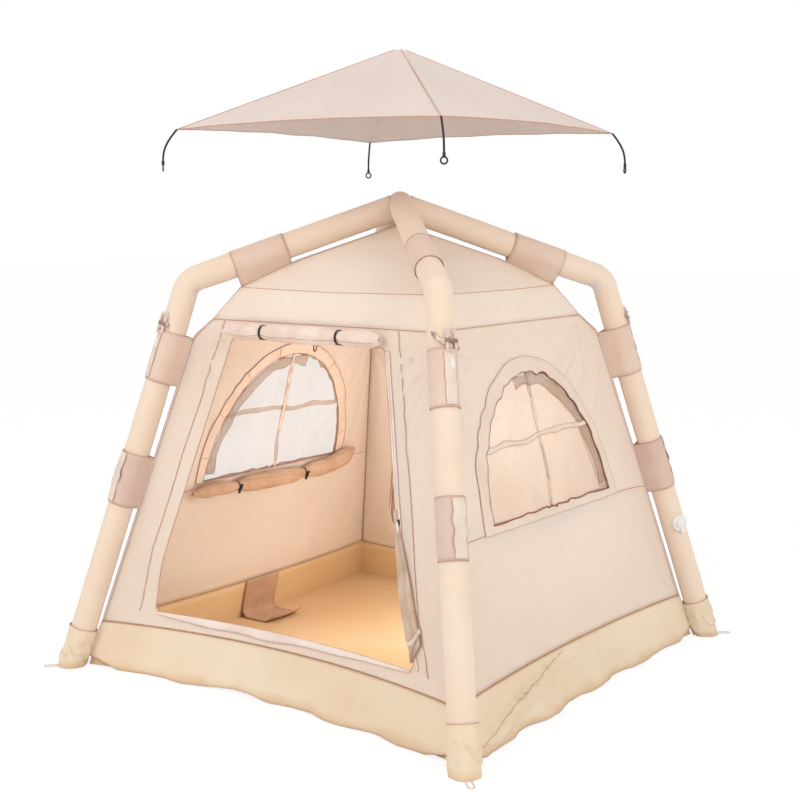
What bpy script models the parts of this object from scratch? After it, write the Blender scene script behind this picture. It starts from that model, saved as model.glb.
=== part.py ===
"""Inflatable tent: four air beams, a cloth body hung inside them on bands, and a fly lifted off above.

Metres, +Z up. The origin is on the ground under the middle of the tent, and the door faces -Y.
"""
import math

import bmesh
import bpy
from mathutils import Matrix, Vector

# Clearances
GAP = 0.0003
OVERRUN = 0.02

# Air beams: a square of feet, a bent shoulder over each foot, one crown
BASE_HALF = 1.000
FOOT_STAND = 0.05
FOOT_HALF = BASE_HALF + FOOT_STAND
SHOULDER_HALF = 0.654
SHOULDER_HEIGHT = 1.70
CROWN_RISE = 0.335
CROWN_HEIGHT = SHOULDER_HEIGHT + CROWN_RISE
BEAM_RADIUS = 0.055
SHOULDER_BEND = 0.10
CROWN_BEND = 0.14
SLEEVE_CLOTH = 0.0015
BLADDER_CLEARANCE = 0.0005
AIR_PORT_RADIUS = 0.012
ARM_SINK = 0.0048
BEAM_SIDES = 16
SHOULDER_STEPS = 5
CROWN_STEPS = 4

# Cloth body: its corner seam from the ground to the peak, hung inside and below the shoulders and the crown
ELBOW_INSET = 0.009
ELBOW_DROP = 0.243
EAVE_INSET = 0.072
EAVE_DROP = 0.165
RIDGE_INSET = 0.159
RIDGE_DROP = 0.028
UPPER_RIDGE_INSET = 0.334
UPPER_RIDGE_DROP = 0.248
PEAK_DROP = 0.105
ELBOW_HALF = SHOULDER_HALF - ELBOW_INSET
ELBOW_HEIGHT = SHOULDER_HEIGHT - ELBOW_DROP
EAVE_HALF = SHOULDER_HALF - EAVE_INSET
EAVE_HEIGHT = SHOULDER_HEIGHT - EAVE_DROP
RIDGE_HALF = SHOULDER_HALF - RIDGE_INSET
RIDGE_HEIGHT = SHOULDER_HEIGHT - RIDGE_DROP
UPPER_RIDGE_HALF = SHOULDER_HALF - UPPER_RIDGE_INSET
UPPER_RIDGE_HEIGHT = CROWN_HEIGHT - UPPER_RIDGE_DROP
PEAK_HEIGHT = CROWN_HEIGHT - PEAK_DROP
PEAK_PATCH_HALF = 0.02
TUB_HEIGHT = 0.20
WALL_CLOTH = 0.004
ROOF_CLOTH = 0.003
BOW_FADE_HEIGHT = 0.55
FRONT_BOW = 0.14
SIDE_BOW = 0.055
BACK_BOW = 0.05
CORNER_SHARPNESS = 16

# Bands, cuffs and stake loops
BAND_CLOTH = 0.002
BAND_RING_SHARES = (0, 0.25, 0.5, 0.75, 1)
UPPER_BAND_DROP = 0.22
UPPER_BAND_LENGTH = 0.21
UPPER_BAND_HIGH = SHOULDER_HEIGHT - UPPER_BAND_DROP
UPPER_BAND_LOW = UPPER_BAND_HIGH - UPPER_BAND_LENGTH
LOWER_BAND_LOW = 0.73
LOWER_BAND_HIGH = 0.955
ROOF_BAND_INNER = 0.355
ROOF_BAND_OUTER = 0.515
CUFF_CLOTH = 0.003
CUFF_HEIGHT = 0.175
SOLE = 0.004
LOOP_LENGTH = 0.072
LOOP_WIDTH = 0.030
LOOP_WEB = 0.007
LOOP_THICKNESS = 0.003

# Door, back door and windows, as places on their wall: across from the middle, up from the ground
DOOR_LOW = 0.265
DOOR_HEAD = 0.073
DOOR_HIGH = EAVE_HEIGHT - DOOR_HEAD
DOOR_LOW_LEFT = -0.70
DOOR_LOW_RIGHT = 0.70
DOOR_HIGH_LEFT = -0.45
DOOR_HIGH_RIGHT = 0.36
DOOR_CORNER = 0.03
BACK_DOOR_LOW = 0.25
BACK_DOOR_HEAD = 0.135
BACK_DOOR_HIGH = EAVE_HEIGHT - BACK_DOOR_HEAD
BACK_DOOR_LOW_HALF = 0.74
BACK_DOOR_HIGH_HALF = 0.42
BACK_DOOR_CORNER = 0.14
WINDOW_SILL = 0.77
WINDOW_HALF = 0.485
WINDOW_HEAD = 0.20
WINDOW_RISE = EAVE_HEIGHT - WINDOW_HEAD - WINDOW_SILL
WINDOW_MIDDLE = 0.022
FACING_WIDTH = 0.060
FACING_CLOTH = 0.002
SILL_TRIM = 0.03
MESH_THICKNESS = 0.0015
CROSS_BAR_WIDTH = 0.026
CROSS_BAR_SHARE = 0.526
ARCH_STEPS = 24

# Ground skirt and cable flap
SKIRT_CLOTH = 0.003
SKIRT_STAND = 0.001
SKIRT_TOP = 0.195
SKIRT_LIFT = 0.003
SKIRT_FLARE = 0.045
SKIRT_WAVE = 0.012
SKIRT_WAVES = 5
FLAP_WIDTH = 0.24
FLAP_PLACE = -0.05
FLAP_CLOTH = 0.002
FLAP_STAND = 0.001
FLAP_ON_FLOOR = 0.21

# Rolled door, curtains and gathered mesh door
DOOR_ROLL_RADIUS = 0.039
DOOR_ROLL_DROP = 0.038
DOOR_ROLL_HEIGHT = EAVE_HEIGHT - DOOR_ROLL_DROP
TIE_RADIUS = 0.002
TIE_CLEARANCE = 0.001
CURTAIN_ROLL_RADIUS = 0.042
CURTAIN_ROLL_DROP = 0.035
CURTAIN_ROLL_OVERHANG = 0.10
MESH_DOOR_RADIUS = 0.030
MESH_DOOR_DROP = 0.042
MESH_DOOR_LIFT = 0.035
MESH_DOOR_STAND = 0.0026
ROLL_SIDES = 12

# Zip slider and its pull
SLIDER_HEIGHT = 0.815
SLIDER_SEAM = 0.013
SLIDER_LENGTH = 0.022
SLIDER_WIDTH = 0.016
SLIDER_DEPTH = 0.006
SLIDER_EAR = 0.002
PULL_LENGTH = 0.036
PULL_WIDTH = 0.009
PULL_DEPTH = 0.002
PULL_PIN = 0.0012
PULL_EYE = 0.0024

# Valve on the right arm
VALVE_HEIGHT = 0.56
VALVE_BEARING = math.radians(-29)
FLANGE_RADIUS = 0.0385
FLANGE_STAND = 0.009
BARREL_RADIUS = 0.016
CAP_RADIUS = 0.0235
CAP_DEPTH = 0.008
CAP_GRIP_WIDTH = 0.006
CAP_GRIP_DEPTH = 0.005
CAP_STEM_RADIUS = 0.008
CAP_STEM_LENGTH = 0.006
PLUG_RADIUS = 0.0120
PLUG_DEPTH = 0.006
PLUG_DOWN = 0.0365
TETHER_ACROSS = 0.026
TETHER_DOWN = 0.020
TETHER_WIDTH = 0.005
TETHER_DEPTH = 0.0025
TETHER_PIN = 0.0018
TETHER_EYE = 0.0042
TURNED_SIDES = 28

# Guylines, put away as hanks above the upper bands
GUY_RADIUS = 0.0015
HANK_RISE = 0.025
HANK_BEARING = math.radians(25)
HANK_HALF_LENGTH = 0.052
HANK_HALF_WIDTH = 0.050
HANK_LENGTH_STEP = 0.0048
HANK_WIDTH_STEP = 0.0082
HANK_LAYER = 0.0040
HANK_LOOPS = 3
HANK_WAIST_SHARE = 0.5
HANK_POINTS = 14
TENSIONER_LENGTH = 0.030
TENSIONER_WIDTH = 0.014
TENSIONER_DEPTH = 0.004
TENSIONER_HOLE = 0.0028
TENSIONER_DROP = 0.084

# Fly
FLY_OVERHANG = 0.023
FLY_HALF = SHOULDER_HALF + FLY_OVERHANG
FLY_LIFT = 0.30
FLY_RIM_HEIGHT = CROWN_HEIGHT + FLY_LIFT
FLY_RISE = 0.35
FLY_PEAK_HEIGHT = FLY_RIM_HEIGHT + FLY_RISE
FLY_CLOTH = 0.003
FLY_PANEL_SAG = 0.012
FLY_EDGE_ARCH = 0.014
FLY_CORD_RADIUS = 0.0045
FLY_CORD_DROP = 0.145
FLY_CORD_REACH = 0.062
FLY_CORD_BOW = 0.019
FLY_CORD_INSET = 0.003
FLY_RING_RADIUS = 0.0125
FLY_RING_WIRE = 0.0035

CORNERS = {"front_left": (-1, -1), "front_right": (1, -1), "back_right": (1, 1), "back_left": (-1, 1)}
SIDES = {
    "front": (Vector((0, -1, 0)), Vector((1, 0, 0))),
    "right": (Vector((1, 0, 0)), Vector((0, 1, 0))),
    "back": (Vector((0, 1, 0)), Vector((-1, 0, 0))),
    "left": (Vector((-1, 0, 0)), Vector((0, -1, 0))),
}
BOWS = {"front": FRONT_BOW, "right": SIDE_BOW, "back": BACK_BOW, "left": SIDE_BOW}
UP = Vector((0, 0, 1))

FINISHES = {
    "sleeve_cloth": ((0.93, 0.85, 0.75), 0.85),
    "band_cloth": ((0.88, 0.79, 0.74), 0.85),
    "wall_cloth": ((0.92, 0.85, 0.78), 0.88),
    "roof_cloth": ((0.94, 0.87, 0.81), 0.88),
    "tub_cloth": ((0.93, 0.84, 0.67), 0.6),
    "fly_cloth": ((0.89, 0.82, 0.79), 0.85),
    "facing_cloth": ((0.90, 0.82, 0.76), 0.88),
    "bladder_film": ((0.85, 0.86, 0.86), 0.35),
    "mesh": ((0.80, 0.76, 0.72), 0.9),
    "black_elastic": ((0.03, 0.03, 0.03), 0.7),
    "white_plastic": ((0.92, 0.92, 0.90), 0.4),
    "black_plastic": ((0.04, 0.04, 0.04), 0.4),
    "guyline": ((0.85, 0.76, 0.66), 0.8),
}


def clear_scene():
    for item in list(bpy.data.objects):
        bpy.data.objects.remove(item)


def collection(name):
    made = bpy.data.collections.new(name)
    bpy.context.scene.collection.children.link(made)
    return made


def finish_of(name):
    """One Principled material for each finish, made when it is first asked for."""
    if name in bpy.data.materials:
        return bpy.data.materials[name]
    colour, roughness = FINISHES[name]
    material = bpy.data.materials.new(name)
    material.use_nodes = True
    shader = material.node_tree.nodes["Principled BSDF"]
    shader.inputs["Base Color"].default_value = (*colour, 1)
    shader.inputs["Roughness"].default_value = roughness
    shader.inputs["Metallic"].default_value = 0
    return material


# Mesh helpers
def link_mesh(name, shape, finish):
    """Turn a bmesh into a named object in the tent's collection, with its faces pointing out."""
    bmesh.ops.recalc_face_normals(shape, faces=shape.faces)
    mesh = bpy.data.meshes.new(name)
    shape.to_mesh(mesh)
    shape.free()
    mesh.shade_smooth()
    mesh.set_sharp_from_angle(angle=math.radians(40))
    made = bpy.data.objects.new(name, mesh)
    if finish:
        mesh.materials.append(finish_of(finish))
        TENT.objects.link(made)
    else:
        made.display_type = "WIRE"
        made.hide_render = True
        CUTTERS.objects.link(made)
    return made


def loft(name, rings, finish, around=False):
    """Skin rings of equal count. Around joins the last ring to the first, else both ends are capped."""
    shape = bmesh.new()
    rows = [[shape.verts.new(point) for point in ring] for ring in rings]
    pairs = list(zip(rows, rows[1:]))
    if around:
        pairs.append((rows[-1], rows[0]))
    else:
        shape.faces.new(rows[0])
        shape.faces.new(rows[-1])
    count = len(rows[0])
    for first, second in pairs:
        for k in range(count):
            n = (k + 1) % count
            shape.faces.new((first[k], first[n], second[n], second[k]))
    return link_mesh(name, shape, finish)


def sheet(name, outer, inner, finish):
    """A closed sheet of cloth between two grids of points, outer and inner, of equal size."""
    shape = bmesh.new()
    grids = [[[shape.verts.new(point) for point in row] for row in grid] for grid in (outer, inner)]
    rows = len(outer)
    columns = len(outer[0])
    for grid in grids:
        for r in range(rows - 1):
            for c in range(columns - 1):
                shape.faces.new((grid[r][c], grid[r][c + 1], grid[r + 1][c + 1], grid[r + 1][c]))
    front, back = grids
    for c in range(columns - 1):
        for r in (0, rows - 1):
            shape.faces.new((front[r][c], front[r][c + 1], back[r][c + 1], back[r][c]))
    for r in range(rows - 1):
        for c in (0, columns - 1):
            shape.faces.new((front[r][c], front[r + 1][c], back[r + 1][c], back[r][c]))
    return link_mesh(name, shape, finish)


def combine(piece, tool, operation="DIFFERENCE"):
    """Cut, join or intersect a piece with a tool from the cutters' collection."""
    change = piece.modifiers.new(tool.name, "BOOLEAN")
    change.object = tool
    change.operation = operation
    change.solver = "EXACT"


def disc(centre, axis, first, radius, sides):
    """Points of a circle about an axis, from the direction called first."""
    second = axis.cross(first)
    turns = [2 * math.pi * k / sides for k in range(sides)]
    return [centre + (first * math.cos(turn) + second * math.sin(turn)) * radius for turn in turns]


def turned(name, base, axis, profile, finish, sides=TURNED_SIDES):
    """A turned piece: profile pairs are (distance along the axis, radius)."""
    first = axis.orthogonal().normalized()
    rings = [disc(base + axis * along, axis, first, radius, sides) for along, radius in profile]
    return loft(name, rings, finish)


def block(name, centre, along, across, size, finish):
    """A box of size (along, across, outward) set square to two directions."""
    shape = bmesh.new()
    bmesh.ops.create_cube(shape, size=1)
    turn = Matrix((along, across, along.cross(across))).transposed().to_4x4()
    shape.transform(Matrix.Translation(centre) @ turn @ Matrix.Diagonal((*size, 1)))
    return link_mesh(name, shape, finish)


# Beam geometry
def at_corner(corner, half, height):
    sx, sy = CORNERS[corner]
    return Vector((sx * half, sy * half, height))


def outward_of(corner):
    sx, sy = CORNERS[corner]
    return Vector((sx, sy, 0)).normalized()


def rounded(corners, bends, steps):
    """A path through corners, each inner one turned into an arc of its own radius."""
    path = [corners[0]]
    for k, (radius, count) in enumerate(zip(bends, steps), start=1):
        corner = corners[k]
        back = (corners[k - 1] - corner).normalized()
        ahead = (corners[k + 1] - corner).normalized()
        half = back.angle(ahead) / 2
        reach = radius / math.tan(half)
        centre = corner + (back + ahead).normalized() * (radius / math.sin(half))
        start = (corner + back * reach - centre).normalized()
        end = (corner + ahead * reach - centre).normalized()
        path += [centre + start.slerp(end, s / count) * radius for s in range(count + 1)]
    return path + [corners[-1]]


def tube_rings(path, across, radius, first_plane, last_plane, sides=BEAM_SIDES):
    """Rings of a mitred tube whose path lies in one plane, square to across."""
    rings = []
    for k, point in enumerate(path):
        ahead = (path[min(k + 1, len(path) - 1)] - path[max(min(k, len(path) - 2), 0)]).normalized()
        behind = (point - path[k - 1]).normalized() if k else ahead
        plane = first_plane if k == 0 else last_plane if k == len(path) - 1 else (ahead + behind).normalized()
        up = across.cross(behind)
        ring = []
        for s in range(sides):
            turn = 2 * math.pi * s / sides
            spoke = (across * math.cos(turn) + up * math.sin(turn)) * radius
            ring.append(point + spoke - behind * (spoke.dot(plane) / behind.dot(plane)))
        rings.append(ring)
    return rings


def arch_path(lift):
    """Centre line of the beam that runs from the front right foot over the crown to the back left one."""
    near, far = "front_right", "back_left"
    start = leg_point(near, lift)
    end = leg_point(far, lift)
    shoulders = [at_corner(c, SHOULDER_HALF, SHOULDER_HEIGHT) for c in (near, far)]
    corners = [start, shoulders[0], Vector((0, 0, CROWN_HEIGHT)), shoulders[1], end]
    bends = [SHOULDER_BEND, CROWN_BEND, SHOULDER_BEND]
    return rounded(corners, bends, [SHOULDER_STEPS, CROWN_STEPS, SHOULDER_STEPS])


def crown_drop():
    """How far the crown's arc passes below the corner that its two runs aim at."""
    slope = math.atan2(CROWN_HEIGHT - SHOULDER_HEIGHT, SHOULDER_HALF * math.sqrt(2))
    return CROWN_BEND * (1 / math.cos(slope) - 1)


def arm_path(corner, lift):
    """Centre line of an arm, from its foot to the middle of the arch."""
    crown = Vector((0, 0, CROWN_HEIGHT - crown_drop() - ARM_SINK)) + outward_of(corner) * GAP
    corners = [leg_point(corner, lift), at_corner(corner, SHOULDER_HALF, SHOULDER_HEIGHT), crown]
    return rounded(corners, [SHOULDER_BEND], [SHOULDER_STEPS])


def leg_point(corner, height):
    """The leg's centre line at a height."""
    share = height / SHOULDER_HEIGHT
    return at_corner(corner, FOOT_HALF + (SHOULDER_HALF - FOOT_HALF) * share, height)


def leg_axis(corner):
    return (at_corner(corner, SHOULDER_HALF, SHOULDER_HEIGHT) - leg_point(corner, 0)).normalized()


def across_of(corner):
    """Horizontal direction square to the corner's upright plane."""
    return UP.cross(outward_of(corner))


def beam_tube(name, path, corner, radius, finish, last_plane):
    rings = tube_rings(path, across_of(corner), radius, UP, last_plane)
    return loft(name, rings, finish)


def beam_sleeve(name, path, corner, last_plane):
    """A sewn sleeve: outer and inner skins of the same tube, open at its ends."""
    skins = [
        tube_rings(path, across_of(corner), radius, UP, last_plane)
        for radius in (BEAM_RADIUS, BEAM_RADIUS - SLEEVE_CLOTH)
    ]
    return loft(name, skins[0] + skins[1][::-1], "sleeve_cloth", around=True)


def make_beams():
    """The arch, and the two arms whose ends are shaped to its sides, with the bladders inside."""
    lift = SOLE + GAP
    bladder_radius = BEAM_RADIUS - SLEEVE_CLOTH - BLADDER_CLEARANCE
    arch = arch_path(lift)
    arch_sleeve = beam_sleeve("arch_sleeve", arch, "front_right", UP)
    beam_tube("arch_bladder", arch, "front_right", bladder_radius, "bladder_film", UP)
    seat = beam_tube("arch_seat", arch, "front_right", BEAM_RADIUS + GAP, None, UP)
    air_seat = beam_tube("arch_air_seat", arch, "front_right", bladder_radius + GAP, None, UP)
    arm_height = CROWN_HEIGHT - crown_drop() - ARM_SINK
    for corner, side in (("front_left", "left"), ("back_right", "right")):
        path = arm_path(corner, lift)
        outward = outward_of(corner)
        sleeve = beam_sleeve(f"{side}_arm_sleeve", path, corner, outward)
        combine(sleeve, seat)
        bladder = beam_tube(f"{side}_arm_bladder", path, corner, bladder_radius, "bladder_film", outward)
        combine(bladder, seat)
        middle = Vector((0, 0, arm_height))
        reach = 2 * BEAM_RADIUS
        port = turned(f"{side}_air_port", middle, outward, [(GAP, AIR_PORT_RADIUS), (reach, AIR_PORT_RADIUS)],
                      None)
        combine(bladder, port, "UNION")
        combine(bladder, air_seat)
        eyelet = turned(f"{side}_air_eyelet", middle, outward,
                        [(GAP, AIR_PORT_RADIUS + GAP), (reach, AIR_PORT_RADIUS + GAP)], None)
        combine(arch_sleeve, eyelet)
        if side == "right":
            make_valve(corner, sleeve, bladder_radius)


# Bands and cuffs
def rib_profile():
    """The body's corner seam as (half width, height) pairs, from the ground to the peak."""
    return [
        (BASE_HALF, 0),
        (ELBOW_HALF, ELBOW_HEIGHT),
        (EAVE_HALF, EAVE_HEIGHT),
        (RIDGE_HALF, RIDGE_HEIGHT),
        (UPPER_RIDGE_HALF, UPPER_RIDGE_HEIGHT),
        (0, PEAK_HEIGHT),
    ]


def seam_distance(corner, start, direction):
    """Distance from a beam's centre line to the body's corner seam, in the corner's upright plane."""
    outward = outward_of(corner)
    origin = Vector((start.dot(outward), start.z))
    heading = Vector((direction.dot(outward), direction.z))
    seam = [Vector((half * math.sqrt(2), height)) for half, height in rib_profile()]
    best = None
    for first, second in zip(seam, seam[1:]):
        run = second - first
        turn = heading.x * run.y - heading.y * run.x
        offset = first - origin
        distance = (offset.x * run.y - offset.y * run.x) / turn
        share = (offset.x * heading.y - offset.y * heading.x) / turn
        if 0 <= share <= 1 and distance > 0 and (best is None or distance < best):
            best = distance
    return best


def band_ring(corner, centre, axis, inward, radius, shrink):
    """One teardrop ring of a band: round the beam, and drawn to the body's corner seam."""
    reach = seam_distance(corner, centre, inward) - GAP
    outer = radius + BAND_CLOTH
    tip = reach - shrink / (outer / reach)
    girth = outer - shrink
    opening = math.acos(girth / tip)
    across = axis.cross(inward)
    steps = BEAM_SIDES - 2
    ring = [centre + inward * tip]
    for k in range(steps + 1):
        turn = opening + (2 * math.pi - 2 * opening) * k / steps
        ring.append(centre + (inward * math.cos(turn) + across * math.sin(turn)) * girth)
    return ring


def cuff_bore():
    """Radius at which a many sided ring of cloth clears the sleeve all round."""
    return (BEAM_RADIUS + GAP) / math.cos(math.pi / BEAM_SIDES)


def make_band(name, corner, centres, axis, inward):
    """A sewn band between two places on a beam."""
    skins = [
        [band_ring(corner, centre, axis, inward, cuff_bore(), shrink) for centre in centres]
        for shrink in (0, BAND_CLOTH)
    ]
    loft(name, skins[0] + skins[1][::-1], "band_cloth", around=True)


def make_bands():
    for corner in CORNERS:
        axis = leg_axis(corner)
        inward = across_of(corner).cross(axis)
        inward = inward if inward.dot(outward_of(corner)) < 0 else -inward
        for level, low, high in (
            ("upper", UPPER_BAND_LOW, UPPER_BAND_HIGH),
            ("lower", LOWER_BAND_LOW, LOWER_BAND_HIGH),
        ):
            centres = [leg_point(corner, height) for height in (low, high)]
            make_band(f"{level}_band_{corner}", corner, centres, axis, inward)
        crown = Vector((0, 0, CROWN_HEIGHT))
        if corner in ("front_left", "back_right"):
            crown.z -= crown_drop() + ARM_SINK
        shoulder = at_corner(corner, SHOULDER_HALF, SHOULDER_HEIGHT)
        axis = (shoulder - crown).normalized()
        inward = across_of(corner).cross(axis)
        inward = inward if inward.z < 0 else -inward
        places = [ROOF_BAND_INNER + (ROOF_BAND_OUTER - ROOF_BAND_INNER) * share for share in BAND_RING_SHARES]
        centres = [crown.lerp(shoulder, half / SHOULDER_HALF) for half in places]
        make_band(f"roof_band_{corner}", corner, centres, axis, inward)


def make_cuffs():
    """Cups of groundsheet cloth that the feet stand in, each with a webbing loop for a stake."""
    for corner in CORNERS:
        axis = leg_axis(corner)
        across = across_of(corner)
        inner_radius = cuff_bore()
        outer = tube_rings([leg_point(corner, 0), leg_point(corner, CUFF_HEIGHT)], across,
                           inner_radius + CUFF_CLOTH, UP, axis)
        inner = tube_rings([leg_point(corner, SOLE), leg_point(corner, CUFF_HEIGHT)], across,
                           inner_radius, UP, axis)
        cuff = loft(f"foot_cuff_{corner}", outer + inner[::-1], "tub_cloth")
        combine(cuff, stake_loop(corner, inner_radius), "UNION")


def stake_loop(corner, cuff_radius):
    """A flat loop of webbing that lies on the ground and points away from the tent."""
    outward = outward_of(corner)
    across = across_of(corner)
    start = leg_point(corner, 0) + outward * (cuff_radius + CUFF_CLOTH / 2)
    half = LOOP_WIDTH / 2
    rings = []
    for inset, height in ((0, 0), (0, LOOP_THICKNESS), (LOOP_WEB, LOOP_THICKNESS), (LOOP_WEB, 0)):
        width = half - inset
        root = LOOP_WEB if inset else 0
        ring = [start + outward * root - across * width, start + outward * root + across * width]
        tip = start + outward * (LOOP_LENGTH - half)
        for k in range(9):
            turn = math.pi * k / 8
            ring.append(tip + across * (width * math.cos(turn)) + outward * (width * math.sin(turn)))
        rings.append([point + UP * height for point in ring])
    return loft(f"stake_loop_{corner}", rings, None, around=True)


# Cloth body
def along_profile(height):
    """Half width of the body's corner seam at a height."""
    profile = rib_profile()
    for (low_half, low), (high_half, high) in zip(profile, profile[1:]):
        if height <= high:
            return low_half + (high_half - low_half) * (height - low) / (high - low)
    return 0


def middle_half(height):
    """Distance of a wall's middle from the tent's axis at a height: a straight line, eave to ground."""
    return BASE_HALF + (EAVE_HALF - BASE_HALF) * height / EAVE_HEIGHT


def bow_share(height):
    """How much of a wall's bow there is at a height: all of it at the tub, none above the fade height."""
    climb = min(max((height - TUB_HEIGHT) / (BOW_FADE_HEIGHT - TUB_HEIGHT), 0), 1)
    return (1 + math.cos(math.pi * climb)) / 2


def wall_point(side, share, height, inset=0):
    """A point of a wall: share runs from -1 at its left seam to 1 at its right one, seen from outside."""
    outward, along = SIDES[side]
    corner = along_profile(height) - inset
    middle = middle_half(height) - inset
    depth = middle + (corner - middle) * abs(share) ** CORNER_SHARPNESS
    depth -= BOWS[side] * (1 - share * share) * bow_share(height)
    return along * (share * (corner - GAP)) + outward * depth + UP * height


def surface_point(side, across, height, stand=0):
    """A point at a distance across a wall from its middle, standing off its outer face square to it."""
    reach = stand / math.cos(wall_lean())
    share = across / (along_profile(height) + reach - GAP)
    return wall_point(side, share, height, -reach)


def wall_lean():
    """Angle that the flat part of a wall leans in from the plumb."""
    return math.atan((BASE_HALF - EAVE_HALF) / EAVE_HEIGHT)


def wall_axes(side):
    """Directions across a wall and up it, and out of its flat part."""
    outward, along = SIDES[side]
    climb = UP * math.cos(wall_lean()) - outward * math.sin(wall_lean())
    return along, climb, along.cross(climb)


EDGE_SHARES = (0.17, 0.34, 0.5, 0.66, 0.8, 0.9, 0.96, 1)
COLUMN_SHARES = (*(-share for share in reversed(EDGE_SHARES)), 0, *EDGE_SHARES)
LOWER_ROW_SHARES = (0, 0.25, 0.5, 0.75, 1)


def wall_heights():
    """Heights of a wall's rows: close together over the bow, then at the elbow and the eave."""
    bottom = TUB_HEIGHT + GAP
    rows = [bottom + (BOW_FADE_HEIGHT - bottom) * share for share in LOWER_ROW_SHARES]
    return rows + [WINDOW_SILL + WINDOW_RISE, ELBOW_HEIGHT, EAVE_HEIGHT - GAP]


def wall_sheet(name, side, outer_inset, inner_inset, finish):
    grids = [
        [[wall_point(side, share, height, inset) for share in COLUMN_SHARES] for height in wall_heights()]
        for inset in (outer_inset, inner_inset)
    ]
    return sheet(name, grids[0], grids[1], finish)


def prism(name, side, outline):
    """A tool that passes through a wall square to it, from an outline of (across, height) pairs."""
    outward, along = SIDES[side]
    near = EAVE_HALF / 2
    far = BASE_HALF + OVERRUN
    rings = [[along * x + UP * z + outward * depth for x, z in outline] for depth in (near, far)]
    return loft(name, rings, None)


def rounded_outline(corners, radius, steps=5):
    """A closed outline with arcs at its corners, as (across, height) pairs."""
    points = []
    vectors = [Vector(corner) for corner in corners]
    for k, corner in enumerate(vectors):
        back = (vectors[k - 1] - corner).normalized()
        ahead = (vectors[(k + 1) % len(vectors)] - corner).normalized()
        half = back.angle(ahead) / 2
        reach = radius / math.tan(half)
        centre = corner + (back + ahead).normalized() * (radius / math.sin(half))
        start = corner + back * reach - centre
        end = corner + ahead * reach - centre
        sweep = math.atan2(start.x * end.y - start.y * end.x, start.dot(end))
        for s in range(steps + 1):
            turn = sweep * s / steps
            c, n = math.cos(turn), math.sin(turn)
            points.append((centre.x + start.x * c - start.y * n, centre.y + start.x * n + start.y * c))
    return points


def window_outline(middle, margin=0, sill_margin=None):
    """An arched window: half an ellipse that stands on its sill, grown by a margin."""
    sill = WINDOW_SILL - (margin if sill_margin is None else sill_margin)
    half = WINDOW_HALF + margin
    rise = WINDOW_SILL + WINDOW_RISE + margin - sill
    turns = [math.pi * k / ARCH_STEPS for k in range(ARCH_STEPS + 1)]
    return [(middle + half * math.cos(turn), sill + rise * math.sin(turn)) for turn in turns]


def door_outline():
    return rounded_outline([
        (DOOR_LOW_LEFT, DOOR_LOW),
        (DOOR_LOW_RIGHT, DOOR_LOW),
        (DOOR_HIGH_RIGHT, DOOR_HIGH),
        (DOOR_HIGH_LEFT, DOOR_HIGH),
    ], DOOR_CORNER)


def back_door_outline(margin):
    low, high = BACK_DOOR_LOW - margin, BACK_DOOR_HIGH + margin
    low_half, high_half = BACK_DOOR_LOW_HALF + margin, BACK_DOOR_HIGH_HALF + margin
    return rounded_outline([(-low_half, low), (low_half, low), (high_half, high), (-high_half, high)],
                           BACK_DOOR_CORNER)


def make_walls():
    front = wall_sheet("front_wall", "front", 0, WALL_CLOTH, "wall_cloth")
    combine(front, prism("door_cut", "front", door_outline()))
    back = wall_sheet("back_wall", "back", 0, WALL_CLOTH, "wall_cloth")
    combine(back, prism("back_door_cut", "back", back_door_outline(0)))
    back_door = wall_sheet("back_door", "back", 0, WALL_CLOTH, "facing_cloth")
    combine(back_door, prism("back_door_shape", "back", back_door_outline(-GAP)), "INTERSECT")
    for side, middle in (("right", WINDOW_MIDDLE), ("left", -WINDOW_MIDDLE)):
        wall = wall_sheet(f"{side}_wall", side, 0, WALL_CLOTH, "wall_cloth")
        combine(wall, prism(f"{side}_window_cut", side, window_outline(middle)))
        make_window(side, middle)


def make_window(side, middle):
    """The mesh with its cross bars fills the wall's opening, and a facing frames it outside."""
    inset = (WALL_CLOTH - MESH_THICKNESS) / 2
    mesh = wall_sheet(f"{side}_window_mesh", side, inset, inset + MESH_THICKNESS, "mesh")
    combine(mesh, prism(f"{side}_mesh_shape", side, window_outline(middle, -GAP)), "INTERSECT")
    along, climb, _ = wall_axes(side)
    bar_share = math.sqrt(1 - CROSS_BAR_SHARE ** 2)
    bar_height = WINDOW_SILL + WINDOW_RISE * CROSS_BAR_SHARE
    level_size = (2 * WINDOW_HALF * bar_share - CROSS_BAR_WIDTH, CROSS_BAR_WIDTH, WALL_CLOTH)
    level_place = surface_point(side, middle, bar_height, -WALL_CLOTH / 2)
    combine(mesh, block(f"{side}_level_bar", level_place, along, climb, level_size, None), "UNION")
    post_size = (CROSS_BAR_WIDTH, (WINDOW_RISE - CROSS_BAR_WIDTH) / math.cos(wall_lean()), WALL_CLOTH - 2 * GAP)
    post_place = surface_point(side, middle, WINDOW_SILL + WINDOW_RISE / 2, -WALL_CLOTH / 2)
    combine(mesh, block(f"{side}_post_bar", post_place, along, climb, post_size, None), "UNION")
    facing = wall_sheet(f"{side}_window_facing", side, -GAP - FACING_CLOTH, -GAP, "facing_cloth")
    rim = window_outline(middle, FACING_WIDTH, SILL_TRIM)
    combine(facing, prism(f"{side}_facing_shape", side, rim), "INTERSECT")
    combine(facing, prism(f"{side}_facing_cut", side, window_outline(middle)))


def body_ring(height, inset, flare_share=0):
    """A closed ring round the body at a height, following the bow of its sides, and flared if asked."""
    ring = []
    for side, (outward, along) in SIDES.items():
        for share in COLUMN_SHARES[:-1]:
            point = wall_point(side, share, height, inset)
            if share == -1:
                point = (outward - along) * (along_profile(height) - inset) + UP * height
            ring.append(point + outward * (skirt_flare(side, share) * flare_share))
    return ring


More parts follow.
